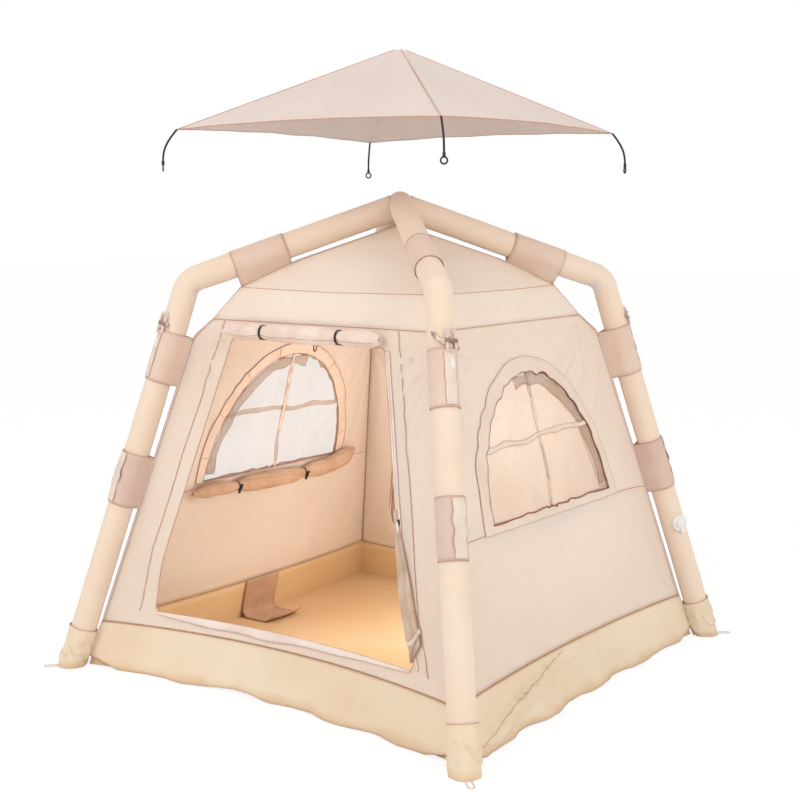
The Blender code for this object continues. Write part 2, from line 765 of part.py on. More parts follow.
def make_tub():
    """The floor: a tray of coated cloth whose sides are sewn to the walls."""
    top = TUB_HEIGHT
    rings = [
        body_ring(0, 0),
        body_ring(top, 0),
        body_ring(top, WALL_CLOTH),
        body_ring(WALL_CLOTH, WALL_CLOTH),
    ]
    loft("tub_floor", rings, "tub_cloth")


def skirt_flare(side, share):
    """How far the skirt's hem stands out: nothing at the corners, and waved between them."""
    wave = SKIRT_WAVE * math.sin(math.pi * SKIRT_WAVES * share + BOWS[side] / SIDE_BOW)
    return (SKIRT_FLARE + wave) * (1 - share ** 4)


SKIRT_ROW_SHARES = (0, 0.4, 0.75, 1)


def make_skirt():
    """The mud flap: a band of tub cloth sewn round the body at the tub's seam, hanging to the ground."""
    skins = []
    for stand in (SKIRT_STAND + SKIRT_CLOTH, SKIRT_STAND):
        skin = []
        for share in SKIRT_ROW_SHARES:
            height = SKIRT_TOP + (SKIRT_LIFT - SKIRT_TOP) * share
            skin.append(body_ring(height, -stand, share ** 1.5))
        skins.append(skin)
    loft("ground_skirt", skins[0] + skins[1][::-1], "tub_cloth", around=True)


def inset_profile(profile, cloth):
    """The same (half, height) profile moved inwards by the cloth: level at its foot, plumb at its top."""
    inner = []
    count = len(profile)
    for k, (half, height) in enumerate(profile):
        point = Vector((half, height))
        behind = (point - Vector(profile[k - 1])).normalized() if k else None
        ahead = (Vector(profile[k + 1]) - point).normalized() if k < count - 1 else None
        if behind is None:
            inner.append((half - cloth / ahead.y, height))
        elif ahead is None:
            inner.append((half, height - cloth / abs(behind.x)))
        else:
            normal = Vector((-behind.y, behind.x)) + Vector((-ahead.y, ahead.x))
            normal = normal.normalized() * (cloth / math.cos(behind.angle(ahead) / 2))
            inner.append((half + normal.x, height + normal.y))
    return inner


def pyramid_ring(half, height, arch, columns):
    """A square ring of a pyramid whose sides rise by arch in their middles."""
    ring = []
    for outward, along in SIDES.values():
        for k in range(columns):
            share = -1 + 2 * k / columns
            ring.append((outward + along * share) * half + UP * (height + arch * (1 - share * share)))
    return ring


def make_shell(name, profile, cloth, arches, columns, finish):
    """A four sided shell of cloth from its rim up to its peak, as one closed sheet."""
    skins = []
    for skin in (profile, inset_profile(profile, cloth)):
        skins.append([pyramid_ring(half, height, arch, columns) for (half, height), arch in zip(skin, arches)])
    return loft(name, skins[0][::-1] + skins[1], finish)


def make_canopy():
    profile = rib_profile()[2:-1] + [(PEAK_PATCH_HALF, PEAK_HEIGHT)]
    flat = [0] * len(profile)
    make_shell("roof_canopy", profile, ROOF_CLOTH, flat, 4, "roof_cloth")


# Rolled and gathered cloth
def roll(name, path, girth_at, up, finish):
    """A roll of cloth along a path, its girth given at each share of its length."""
    rings = []
    last = len(path) - 1
    for k, point in enumerate(path):
        ahead = (path[min(k + 1, last)] - path[max(k - 1, 0)]).normalized()
        side = ahead.cross(up).normalized()
        rings.append(disc(point, ahead, side, girth_at(k / last), ROLL_SIDES))
    return loft(name, rings, finish)


def pinched(radius, tie_shares, pinch_share, end_share, width_share):
    """Girth of a roll that its ties pinch and whose ends taper."""
    def girth(share):
        value = 1 - (1 - end_share) * max(abs(2 * share - 1) * 8 - 7, 0)
        for tie in tie_shares:
            near = max(1 - abs(share - tie) / width_share, 0)
            value = min(value, 1 - (1 - pinch_share) * near)
        return radius * value
    return girth


ROLL_RINGS = 12
DOOR_TIE_SHARES = (3 / ROLL_RINGS, 9 / ROLL_RINGS)
CURTAIN_TIE_SHARES = (4 / ROLL_RINGS, 9 / ROLL_RINGS)
MESH_TIE_SHARES = (10 / ROLL_RINGS,)
DOOR_PINCH_SHARE = 0.84
CURTAIN_PINCH_SHARE = 0.62
MESH_PINCH_SHARE = 0.55


def make_rolled_door():
    """The outer door, rolled up under the eave and held by two black elastic ties."""
    stand = DOOR_ROLL_RADIUS + GAP
    ends = [surface_point("front", x, DOOR_ROLL_HEIGHT, stand) for x in (DOOR_HIGH_LEFT, DOOR_HIGH_RIGHT)]
    path = [ends[0].lerp(ends[1], k / ROLL_RINGS) for k in range(ROLL_RINGS + 1)]
    girth = pinched(DOOR_ROLL_RADIUS, DOOR_TIE_SHARES, DOOR_PINCH_SHARE, 0.8, 1 / ROLL_RINGS)
    roll("rolled_door", path, girth, wall_axes("front")[1], "facing_cloth")
    outward, along = SIDES["front"]
    for k, tie in enumerate(DOOR_TIE_SHARES, start=1):
        centre = ends[0].lerp(ends[1], tie)
        major = DOOR_ROLL_RADIUS * DOOR_PINCH_SHARE + TIE_RADIUS + TIE_CLEARANCE
        loft(f"door_tie_{k}", torus_rings(centre, outward, UP, major, TIE_RADIUS, 20, 6),
             "black_elastic", around=True)


def torus_rings(centre, first, second, major, minor, count, sides):
    """Rings of a torus that lies in the plane of two directions."""
    rings = []
    for k in range(count):
        turn = 2 * math.pi * k / count
        spoke = first * math.cos(turn) + second * math.sin(turn)
        heading = second * math.cos(turn) - first * math.sin(turn)
        rings.append(disc(centre + spoke * major, heading, spoke, minor, sides))
    return rings


def make_curtains():
    """Each window's inner curtain, rolled down to its sill inside the wall."""
    for side, middle in (("right", WINDOW_MIDDLE), ("left", -WINDOW_MIDDLE)):
        stand = -(WALL_CLOTH + CURTAIN_ROLL_RADIUS + GAP)
        half = WINDOW_HALF + CURTAIN_ROLL_OVERHANG
        places = [middle + half * (2 * k / ROLL_RINGS - 1) for k in range(ROLL_RINGS + 1)]
        path = [surface_point(side, across, WINDOW_SILL - CURTAIN_ROLL_DROP, stand) for across in places]
        girth = pinched(CURTAIN_ROLL_RADIUS, CURTAIN_TIE_SHARES, CURTAIN_PINCH_SHARE, 0.45, 1 / ROLL_RINGS)
        roll(f"{side}_curtain_roll", path, girth, wall_axes(side)[1], "facing_cloth")


def door_edge(height):
    """Across place of the door's right edge at a height."""
    share = (height - DOOR_LOW) / (DOOR_HIGH - DOOR_LOW)
    return DOOR_LOW_RIGHT + (DOOR_HIGH_RIGHT - DOOR_LOW_RIGHT) * share


def make_mesh_door():
    """The inner mesh door, gathered and tied back inside the right jamb."""
    stand = -(WALL_CLOTH + MESH_DOOR_RADIUS + MESH_DOOR_STAND)
    top = DOOR_HIGH - MESH_DOOR_DROP
    run = DOOR_LOW + MESH_DOOR_LIFT - top
    heights = [top + run * k / ROLL_RINGS for k in range(ROLL_RINGS + 1)]
    path = [surface_point("front", door_edge(z) + MESH_DOOR_RADIUS, z, stand) for z in heights]
    tied = pinched(MESH_DOOR_RADIUS, MESH_TIE_SHARES, MESH_PINCH_SHARE, 0.5, 1 / ROLL_RINGS)

    def girth(share):
        return tied(share) * min(0.45 + share, 1)
    roll("mesh_door", path, girth, SIDES["front"][1], "mesh")


def make_cable_flap():
    """A strip that covers the cable port: it hangs down the tub's inner side and lies on the floor."""
    outward, along = SIDES["left"]
    inset = WALL_CLOTH + FLAP_STAND
    top = wall_point("left", FLAP_PLACE, TUB_HEIGHT, inset)
    corner = wall_point("left", FLAP_PLACE, WALL_CLOTH + GAP, inset)
    floor_end = corner - outward * FLAP_ON_FLOOR
    inward = -outward * FLAP_CLOTH
    lifts = (inward, inward + UP * FLAP_CLOTH, UP * FLAP_CLOTH)
    half = along * (FLAP_WIDTH / 2)
    rings = []
    for point, lift in zip((top, corner, floor_end), lifts):
        rings.append([point - half, point + half, point + lift + half, point + lift - half])
    loft("cable_flap", rings, "band_cloth")


# Zip, valve, guylines and fly
def zip_axis():
    """Direction of the zip beside the door's right edge."""
    low, high = (surface_point("front", door_edge(z), z) for z in (BOW_FADE_HEIGHT, ELBOW_HEIGHT))
    return (high - low).normalized()


def make_zip():
    """The slider rides the zip beside the door's right edge, with its pull hanging on a pin."""
    normal = wall_axes("front")[2]
    climb = zip_axis()
    across = normal.cross(climb)
    foot = surface_point("front", door_edge(SLIDER_HEIGHT) + SLIDER_SEAM, SLIDER_HEIGHT)
    centre = foot + normal * (GAP + SLIDER_DEPTH / 2)
    slider = block("zip_slider", centre, climb, across, (SLIDER_LENGTH, SLIDER_WIDTH, SLIDER_DEPTH),
                   "black_plastic")
    pivot = foot + normal * (GAP + SLIDER_DEPTH + GAP + PULL_EYE)
    ear_place = PULL_WIDTH / 2 + GAP + SLIDER_EAR / 2
    pin_reach = ear_place + SLIDER_EAR / 4
    combine(slider, turned("zip_pin", pivot - across * pin_reach, across,
                           [(0, PULL_PIN), (2 * pin_reach, PULL_PIN)], None, 12), "UNION")
    for way in (-1, 1):
        ear = block(f"zip_ear_{way + 2}", pivot + across * (way * ear_place) - normal * PULL_PIN,
                    climb, across, (4 * PULL_PIN, SLIDER_EAR, 2 * PULL_EYE + 2 * PULL_PIN), None)
        combine(slider, ear, "UNION")
    pull = block("zip_pull", pivot - climb * (PULL_LENGTH / 2), climb, across,
                 (PULL_LENGTH, PULL_WIDTH - 2 * GAP, PULL_DEPTH), "white_plastic")
    combine(pull, turned("zip_pull_eye", pivot - across * (PULL_WIDTH / 2), across,
                         [(0, PULL_EYE), (PULL_WIDTH, PULL_EYE)], None, 12), "UNION")
    combine(pull, turned("zip_pull_hole", pivot - across * PULL_WIDTH, across,
                         [(0, PULL_PIN + GAP), (2 * PULL_WIDTH, PULL_PIN + GAP)], None, 12))
    report("zip slider", centre, climb)
    report("zip pull", pivot, across)


def report(name, place, axis):
    """Print a joint's place and axis, for the record."""
    print(name, "at", [round(value, 5) for value in place], "axis", [round(value, 5) for value in axis])


def valve_frame(corner):
    """Centre line point, outward normal, and the directions across and down at the valve."""
    axis = leg_axis(corner)
    bearing = Vector((math.cos(VALVE_BEARING), math.sin(VALVE_BEARING), 0))
    normal = (bearing - axis * bearing.dot(axis)).normalized()
    return leg_point(corner, VALVE_HEIGHT), normal, axis.cross(normal), -axis


def beam_slug(name, corner, radius):
    """A length of the beam round the valve, as a tool of its own radius."""
    path = [leg_point(corner, VALVE_HEIGHT + way * 2 * FLANGE_RADIUS) for way in (-1, 1)]
    axis = leg_axis(corner)
    return loft(name, tube_rings(path, across_of(corner), radius, axis, axis), None)


def make_valve(corner, sleeve, bladder_radius):
    """The valve's flange is saddled on the sleeve, and its barrel reaches the bladder."""
    centre, normal, across, down = valve_frame(corner)
    face = BEAM_RADIUS + FLANGE_STAND
    low = BEAM_RADIUS - OVERRUN
    bevel = CAP_DEPTH / 4
    body = turned("valve_body", centre, normal,
                  [(low, FLANGE_RADIUS), (face - bevel, FLANGE_RADIUS), (face, FLANGE_RADIUS - bevel)],
                  "white_plastic")
    combine(body, beam_slug("valve_saddle", corner, BEAM_RADIUS + GAP))
    combine(body, turned("valve_barrel", centre, normal,
                         [(low, BARREL_RADIUS), (face - bevel, BARREL_RADIUS)], None), "UNION")
    combine(body, beam_slug("valve_film_seat", corner, bladder_radius + GAP))
    combine(body, turned("valve_bore", centre, normal,
                         [(low, CAP_STEM_RADIUS + GAP), (face + OVERRUN, CAP_STEM_RADIUS + GAP)], None))
    combine(sleeve, turned("valve_hole", centre, normal,
                           [(low, BARREL_RADIUS + GAP), (face + OVERRUN, BARREL_RADIUS + GAP)], None))
    base = face + GAP
    top = base + CAP_DEPTH
    cap = turned("valve_cap", centre, normal,
                 [(base, CAP_RADIUS), (top - bevel, CAP_RADIUS), (top, CAP_RADIUS - bevel)], "white_plastic")
    combine(cap, turned("valve_stem", centre, normal,
                        [(base - CAP_STEM_LENGTH, CAP_STEM_RADIUS), (base + bevel, CAP_STEM_RADIUS)], None), "UNION")
    combine(cap, block("valve_grip", centre + normal * (top + CAP_GRIP_DEPTH / 2 - bevel), across, down,
                       (2 * (CAP_RADIUS - 2 * bevel), CAP_GRIP_WIDTH, CAP_GRIP_DEPTH + bevel), None), "UNION")
    report("valve cap", centre + normal * base, normal)
    make_plug(body, centre, normal, across, down, face)


def make_plug(body, centre, normal, across, down, face):
    """The small plug hangs on its tether from a pin on the flange."""
    anchor = centre + across * TETHER_ACROSS + down * TETHER_DOWN
    middle = centre + down * PLUG_DOWN
    reach = (middle - anchor).length
    run = (middle - anchor).normalized()
    base = face + GAP
    combine(body, turned("tether_pin", anchor, normal,
                         [(face - TETHER_DEPTH, TETHER_PIN), (face + 2 * TETHER_DEPTH, TETHER_PIN)], None, 16),
            "UNION")
    plug = turned("valve_plug", middle, normal,
                  [(base, PLUG_RADIUS), (base + 2 * TETHER_DEPTH, PLUG_RADIUS), (base + PLUG_DEPTH, PLUG_RADIUS / 2)],
                  "white_plastic", 20)
    combine(plug, block("tether_strap", anchor + run * (reach / 2) + normal * (base + TETHER_DEPTH / 2),
                        run, normal.cross(run), (reach, TETHER_WIDTH, TETHER_DEPTH), None), "UNION")
    combine(plug, turned("tether_eye", anchor, normal,
                         [(base, TETHER_EYE), (base + TETHER_DEPTH, TETHER_EYE)], None, 16), "UNION")
    combine(plug, turned("tether_hole", anchor, normal,
                         [(face - TETHER_DEPTH, TETHER_PIN + GAP), (face + 3 * TETHER_DEPTH, TETHER_PIN + GAP)],
                         None, 16))
    report("valve plug", anchor + normal * base, normal)


def hank_path():
    """Loops of a hank on a flat frame (across, up, out): in along one layer, out again along the next."""
    total = 2 * HANK_LOOPS
    points = []
    count = total * HANK_POINTS
    for k in range(count + 1):
        turns = k / HANK_POINTS
        turn = 2 * math.pi * turns
        inner = turns if turns <= HANK_LOOPS else total - turns
        length = HANK_HALF_LENGTH - HANK_LENGTH_STEP * inner
        width = HANK_HALF_WIDTH - HANK_WIDTH_STEP * inner
        pull_in = 1 - HANK_WAIST_SHARE * math.sin(turn) ** 2
        climb = min(max((turns - HANK_LOOPS) * 2 + 0.5, 0), 1)
        points.append((width * math.sin(turn) * pull_in, length * math.cos(turn),
                       GUY_RADIUS + HANK_LAYER * climb))
    return points


def least_gap(points, diameter, skip):
    """Smallest clear space between turns of a cord that lie apart along it."""
    vectors = [Vector(point) for point in points]
    nearest = min(
        (first - second).length
        for k, first in enumerate(vectors)
        for second in vectors[k + skip:]
    )
    return nearest - diameter


def cord(name, points, radius, finish, resolution=1):
    """A cord along points, as a tube with filled ends."""
    data = bpy.data.curves.new(name, "CURVE")
    data.dimensions = "3D"
    data.bevel_depth = radius
    data.bevel_resolution = resolution
    data.use_fill_caps = True
    data.render_resolution_u = 0
    line = data.splines.new("POLY")
    line.points.add(len(points) - 1)
    for target, point in zip(line.points, points):
        target.co = (*point, 1)
    made = bpy.data.objects.new(name, data)
    data.materials.append(finish_of(finish))
    TENT.objects.link(made)
    return made


def make_guylines():
    """Each guyline is put away as a hank on the outer side of its leg, with its tensioner below."""
    flat = hank_path()
    gap = least_gap(flat, 2 * GUY_RADIUS, HANK_POINTS // 2)
    print(f"least gap between the turns of a hank: {gap * 1000:.2f} mm")
    for corner in CORNERS:
        axis = leg_axis(corner)
        bearing = Matrix.Rotation(HANK_BEARING, 3, "Z") @ outward_of(corner)
        out = (bearing - axis * bearing.dot(axis)).normalized()
        across = axis.cross(out)
        band_face = cuff_bore() + BAND_CLOTH + GAP
        base = leg_point(corner, UPPER_BAND_HIGH + HANK_RISE) + out * band_face
        points = [base + across * x + axis * y + out * z for x, y, z in flat]
        cord(f"guy_hank_{corner}", points, GUY_RADIUS, "guyline")
        place = base - axis * TENSIONER_DROP + out * (TENSIONER_DEPTH / 2)
        plate = block(f"guy_tensioner_{corner}", place, axis, -across,
                      (TENSIONER_LENGTH, TENSIONER_WIDTH, TENSIONER_DEPTH), "white_plastic")
        for way in (-1, 1):
            spot = place + axis * (way * TENSIONER_LENGTH / 4) - out * TENSIONER_DEPTH
            hole = turned(f"tensioner_hole_{corner}_{way + 2}", spot, out,
                          [(0, TENSIONER_HOLE), (2 * TENSIONER_DEPTH, TENSIONER_HOLE)], None, 12)
            combine(plate, hole)


FLY_RING_SHARES = (1, 0.82, 0.6, 0.38, 0.18)


def make_fly():
    """The fly: a square pyramid of cloth, slack between its ridges, with a cord and ring at each corner."""
    profile = [(FLY_HALF * share, FLY_PEAK_HEIGHT - FLY_RISE * share) for share in FLY_RING_SHARES]
    profile.append((PEAK_PATCH_HALF, FLY_PEAK_HEIGHT - FLY_RISE * PEAK_PATCH_HALF / FLY_HALF))
    arches = [FLY_EDGE_ARCH] + [-FLY_PANEL_SAG * share for share in FLY_RING_SHARES[1:]] + [0]
    make_shell("fly_canopy", profile, FLY_CLOTH, arches, 10, "fly_cloth")
    for corner in CORNERS:
        make_fly_cord(corner)


def make_fly_cord(corner):
    """An elastic cord under the fly's corner, slanting out to a ring that hooks low on the leg."""
    outward = outward_of(corner)
    across = across_of(corner)
    start = at_corner(corner, FLY_HALF, FLY_RIM_HEIGHT - GAP) - outward * FLY_CORD_INSET
    count = 8
    points = []
    for k in range(count + 1):
        share = k / count
        reach = FLY_CORD_REACH * share + FLY_CORD_BOW * math.sin(math.pi * share)
        points.append(start + outward * reach - UP * (FLY_CORD_DROP * share))
    heading = (points[-1] - points[-2]).normalized()
    strap = loft(f"fly_cord_{corner}", tube_rings(points, across, FLY_CORD_RADIUS, UP, heading, 8),
                 "black_elastic")
    centre = points[-1] + heading * (FLY_RING_RADIUS + FLY_RING_WIRE / 2)
    rings = torus_rings(centre, heading, across, FLY_RING_RADIUS, FLY_RING_WIRE, 16, 6)
    combine(strap, loft(f"fly_ring_{corner}", rings, None, around=True), "UNION")


clear_scene()
TENT = collection("inflatable_tent")
CUTTERS = collection("cutters")
make_beams()
make_bands()
make_cuffs()
make_walls()
make_tub()
make_skirt()
make_canopy()
make_rolled_door()
make_curtains()
make_mesh_door()
make_cable_flap()
make_zip()
make_guylines()
make_fly()
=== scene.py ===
"""Inflatable tent, dressed: sewn cloth, seams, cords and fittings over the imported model."""
import math

import bmesh
import bpy
from mathutils import Matrix, Vector, noise


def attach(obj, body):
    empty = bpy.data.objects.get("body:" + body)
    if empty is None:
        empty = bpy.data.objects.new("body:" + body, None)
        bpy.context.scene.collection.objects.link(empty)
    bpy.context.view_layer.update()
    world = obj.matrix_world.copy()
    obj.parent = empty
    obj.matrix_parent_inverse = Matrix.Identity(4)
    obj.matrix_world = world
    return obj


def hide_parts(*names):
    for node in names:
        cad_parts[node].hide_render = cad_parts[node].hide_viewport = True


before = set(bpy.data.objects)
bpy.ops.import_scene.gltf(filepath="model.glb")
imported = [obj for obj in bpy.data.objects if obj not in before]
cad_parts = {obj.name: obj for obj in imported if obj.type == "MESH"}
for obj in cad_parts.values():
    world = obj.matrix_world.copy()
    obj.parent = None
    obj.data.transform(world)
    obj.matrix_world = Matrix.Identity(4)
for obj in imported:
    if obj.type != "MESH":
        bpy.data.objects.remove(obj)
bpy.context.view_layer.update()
bpy.context.scene.view_settings.view_transform = "Standard"

# Camera, ground and light
# A long lens at standing height off the tent's front right foot, over pale ground, under an even white sky.
# Two wide soft lamps stand high in front and to the right, and a small one lights the inside.
CAMERA_PLACE = (3.599, -4.963, 1.984)
CAMERA_TILT = (math.radians(79.43), 0, math.radians(35.95))
LENS_LENGTH = 61.95
LENS_SHIFT = 0.0885
SIGHT = 200
GROUND_HALF = 40
GROUND_DEPTH = 0.0005
LAMP_SIZE = 3.5
LAMP_AIM = Vector((0, 0, 0.9))


def put(name, data):
    """A named object in the scene."""
    made = bpy.data.objects.new(name, data)
    bpy.context.scene.collection.objects.link(made)
    return made


def feed(tree, node, given):
    """Set a node's inputs, by name or number, to values or to other nodes' outputs."""
    for label, value in given.items():
        if isinstance(value, bpy.types.NodeSocket):
            tree.links.new(value, node.inputs[label])
        else:
            node.inputs[label].default_value = value


def add_node(tree, kind, given=None, **settings):
    node = tree.nodes.new(kind)
    for label, value in settings.items():
        setattr(node, label, value)
    feed(tree, node, given or {})
    return node


def math_node(tree, operation, *values):
    return add_node(tree, "ShaderNodeMath", dict(enumerate(values)), operation=operation).outputs[0]


def mix_shaders(tree, share, first, second, end):
    """Mix two shaders into the node that ends a tree."""
    mix = add_node(tree, "ShaderNodeMixShader", {0: share, 1: first.outputs[0], 2: second.outputs[0]})
    tree.links.new(mix.outputs[0], tree.nodes[end].inputs["Surface"])


def start_finish(name, given):
    """A new material, its node tree and its shader."""
    made = bpy.data.materials.new(name)
    made.use_nodes = True
    shader = made.node_tree.nodes["Principled BSDF"]
    feed(made.node_tree, shader, given)
    return made, made.node_tree, shader


lens = bpy.data.cameras.new("camera")
lens.lens = LENS_LENGTH
lens.shift_y = LENS_SHIFT
lens.clip_end = SIGHT
camera = put("camera", lens)
camera.location = CAMERA_PLACE
camera.rotation_euler = CAMERA_TILT
bpy.context.scene.camera = camera

ground_corners = [(-GROUND_HALF, -GROUND_HALF), (GROUND_HALF, -GROUND_HALF), (GROUND_HALF, GROUND_HALF),
                  (-GROUND_HALF, GROUND_HALF)]
ground_mesh = bpy.data.meshes.new("ground")
ground_mesh.from_pydata([(x, y, -GROUND_DEPTH) for x, y in ground_corners], [], [(0, 1, 2, 3)])
ground_finish, tree, paper = start_finish("pale_ground", {
    "Base Color": (0.93, 0.93, 0.93, 1), "Roughness": 0.9, "Specular IOR Level": 0.1})
white = add_node(tree, "ShaderNodeEmission", {"Strength": 1.05})
ray = add_node(tree, "ShaderNodeLightPath").outputs
mix_shaders(tree, math_node(tree, "MULTIPLY", ray["Is Camera Ray"], 0.80), paper, white, "Material Output")
ground_mesh.materials.append(ground_finish)
put("ground", ground_mesh)

sky = bpy.data.worlds.new("white_sky")
bpy.context.scene.world = sky
sky.use_nodes = True
tree = sky.node_tree
sky_light = tree.nodes["Background"]
feed(tree, sky_light, {"Color": (1, 0.985, 0.965, 1), "Strength": 0.80})
sky_seen = add_node(tree, "ShaderNodeBackground", {"Color": (1, 1, 1, 1), "Strength": 1.0})
ray = add_node(tree, "ShaderNodeLightPath").outputs
either = math_node(tree, "MAXIMUM", ray["Is Camera Ray"], ray["Is Glossy Ray"])
either = math_node(tree, "MAXIMUM", either, ray["Is Transmission Ray"])
mix_shaders(tree, either, sky_light, sky_seen, "World Output")


def add_lamp(name, kind, place, power, colour):
    light = bpy.data.lights.new(name, kind)
    light.energy = power
    light.color = colour
    lamp = put(name, light)
    lamp.location = place
    return lamp, light


def soft_lamp(name, place, power, colour):
    """A round lamp turned to the middle of the tent."""
    lamp, light = add_lamp(name, "AREA", place, power, colour)
    light.shape = "DISK"
    light.size = LAMP_SIZE
    lamp.rotation_euler = (LAMP_AIM - Vector(place)).to_track_quat("-Z", "Y").to_euler()


soft_lamp("high_lamp", (-1.2, -6.8, 6.0), 160, (1, 0.985, 0.96))
soft_lamp("side_lamp", (6.5, -1.5, 4.5), 108, (1, 0.98, 0.95))
inner_lamp, inner_light = add_lamp("inner_lamp", "POINT", (0.12, 0.10, 0.78), 16.5, (0.97, 0.98, 1))
inner_light.shadow_soft_size = 0.25
inner_lamp.visible_camera = False
inner_lamp.visible_glossy = False


# Fly cords
# Black elastic shock cord held under the fly's corners, each with a moulded ring that hooks on a leg.
# The cord is braided, and a moulded crimp closes it round the ring.
UP = Vector((0, 0, 1))
CLEAR = 0.0003
FLY_HALF = 0.677
FLY_RIM = 2.335
FLY_CORD_RADIUS = 0.0045
FLY_CORD_DROP = 0.145
FLY_CORD_REACH = 0.062
FLY_CORD_BOW = 0.019
FLY_CORD_INSET = 0.003
FLY_CORD_STEPS = 24
RING_RADIUS = 0.0125
RING_WIRE = 0.0035
CRIMP_PROFILE = [(-0.016, 0.0046), (-0.014, 0.0062), (-0.009, 0.0068), (-0.007, 0.0056), (-0.005, 0.0068),
                 (0.001, 0.0066), (0.003, 0.0046)]
CORNERS = {"front_left": (-1, -1), "front_right": (1, -1), "back_right": (1, 1), "back_left": (-1, 1)}
SHARP_ANGLE = math.radians(50)


def at_corner(corner, half, height):
    sx, sy = CORNERS[corner]
    return Vector((sx * half, sy * half, height))


def outward_of(corner):
    return at_corner(corner, 1, 0).normalized()


def across_of(corner):
    return UP.cross(outward_of(corner))


def turned(way, turn, other):
    """A direction turned from one way towards another that is square to it."""
    return way * math.cos(turn) + other * math.sin(turn)


def turns_round(count):
    return [2 * math.pi * k / count for k in range(count)]


def spaced(first, last, steps):
    """Even steps from one value to another."""
    return [first + (last - first) * k / steps for k in range(steps + 1)]


def linear(colour):
    """A colour seen on a screen, as the amounts of light that a shader takes."""
    return tuple(c / 12.92 if c <= 0.04045 else ((c + 0.055) / 1.055) ** 2.4 for c in colour) + (1,)


def node_group(name, takes, gives):
    """A shader node group with named sockets, its two end nodes, and the place on the object."""
    group = bpy.data.node_groups.new(name, "ShaderNodeTree")
    for label, start in takes.items():
        kind = "NodeSocketColor" if isinstance(start, tuple) else "NodeSocketFloat"
        group.interface.new_socket(label, in_out="INPUT", socket_type=kind).default_value = start
    for label in gives:
        kind = "NodeSocketColor" if label == "Color" else "NodeSocketFloat"
        group.interface.new_socket(label, in_out="OUTPUT", socket_type=kind)
    start = group.nodes.new("NodeGroupInput")
    place = add_node(group, "ShaderNodeTexCoord").outputs["Object"]
    return group, start.outputs, group.nodes.new("NodeGroupOutput"), place


def mix_colours(tree, share, first, second):
    given = {"Factor": share, 6: first, 7: second}
    return add_node(tree, "ShaderNodeMix", given, data_type="RGBA").outputs[2]


def bump(tree, height, strength, distance):
    given = {"Strength": strength, "Distance": distance, "Height": height}
    return add_node(tree, "ShaderNodeBump", given).outputs["Normal"]


def make_mottle():
    """Two tones of one stuff that drift into each other, and a mask of where it is rubbed."""
    takes = {"Cloth": (0.9, 0.85, 0.8, 1), "Shade": (0.8, 0.7, 0.6, 1), "Amount": 0.5, "Scale": 2.0}
    group, start, end, place = node_group("cloth_tone", takes, ["Color", "Rubbed"])
    broad = add_node(group, "ShaderNodeTexNoise", {"Detail": 3, "Vector": place, "Scale": start["Scale"]})
    fine = add_node(group, "ShaderNodeTexNoise", {"Detail": 4, "Vector": place, "Scale": 60})
    total = math_node(group, "ADD", math_node(group, "MULTIPLY", broad.outputs["Fac"], 0.8),
                      math_node(group, "MULTIPLY", fine.outputs["Fac"], 0.2))
    spread = add_node(group, "ShaderNodeMapRange", {"From Min": 0.32, "From Max": 0.72, "Value": total},
                      interpolation_type="SMOOTHSTEP")
    share = math_node(group, "MULTIPLY", spread.outputs[0], start["Amount"])
    feed(group, end, {"Color": mix_colours(group, share, start["Cloth"], start["Shade"]),
                      "Rubbed": fine.outputs["Fac"]})
    return group


def make_braid():
    """Crossing strands of a braided cord, as a height."""
    group, start, end, place = node_group("cord_braid", {"Pitch": 400.0}, ["Height"])
    given = {"Vector": place, "Scale": start["Pitch"]}
    strands = add_node(group, "ShaderNodeTexVoronoi", given, feature="F1")
    feed(group, end, {"Height": strands.outputs["Distance"]})
    return group


CLOTH_TONE = make_mottle()
CORD_BRAID = make_braid()


def two_tones(tree, colour, shade, amount, scale):
    given = {"Cloth": linear(colour), "Shade": linear(shade), "Amount": amount, "Scale": scale}
    return add_node(tree, "ShaderNodeGroup", given, node_tree=CLOTH_TONE).outputs


def braid_finish(name, colour, shade, pitch):
    """A braided cord or elastic in two tones."""
    made, tree, shader = start_finish(name, {"Roughness": 0.7, "Sheen Weight": 0.2})
    braid = add_node(tree, "ShaderNodeGroup", {"Pitch": pitch}, node_tree=CORD_BRAID).outputs["Height"]
    feed(tree, shader, {"Base Color": mix_colours(tree, braid, linear(colour), linear(shade)),
                        "Normal": bump(tree, braid, 0.7, 0.0006)})
    return made


def moulded_finish(name, colour, roughness):
    """Moulded plastic: a fine grain, a slight drift of tone and uneven gloss."""
    made, tree, shader = start_finish(name, {})
    tone = two_tones(tree, colour, tuple(c * 0.9 for c in colour), 0.5, 30)
    place = add_node(tree, "ShaderNodeTexCoord").outputs["Object"]
    grain = add_node(tree, "ShaderNodeTexNoise", {"Scale": 900, "Vector": place}).outputs["Fac"]
    feed(tree, shader, {"Base Color": tone["Color"],
                        "Roughness": math_node(tree, "MULTIPLY_ADD", tone["Rubbed"], 0.15, roughness - 0.07),
                        "Normal": bump(tree, grain, 0.15, 0.0003)})
    return made


def mesh_piece(name, rows, faces, finish, outward=False):
    """A named object at the origin from rows of points and their faces."""
    mesh = bpy.data.meshes.new(name)
    mesh.from_pydata([tuple(p) for row in rows for p in row], [], faces)
    if outward:
        shape = bmesh.new()
        shape.from_mesh(mesh)
        bmesh.ops.remove_doubles(shape, verts=shape.verts, dist=1e-6)
        bmesh.ops.recalc_face_normals(shape, faces=shape.faces)
        shape.to_mesh(mesh)
        shape.free()
    mesh.shade_smooth()
    mesh.set_sharp_from_angle(angle=SHARP_ANGLE)
    mesh.materials.append(finish)
    return put(name, mesh)


def assign(piece, replaced=None, body="tent"):
    """Say which body a piece moves with, and the node it replaces."""
    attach(piece, body)
    if replaced:
        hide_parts(replaced)


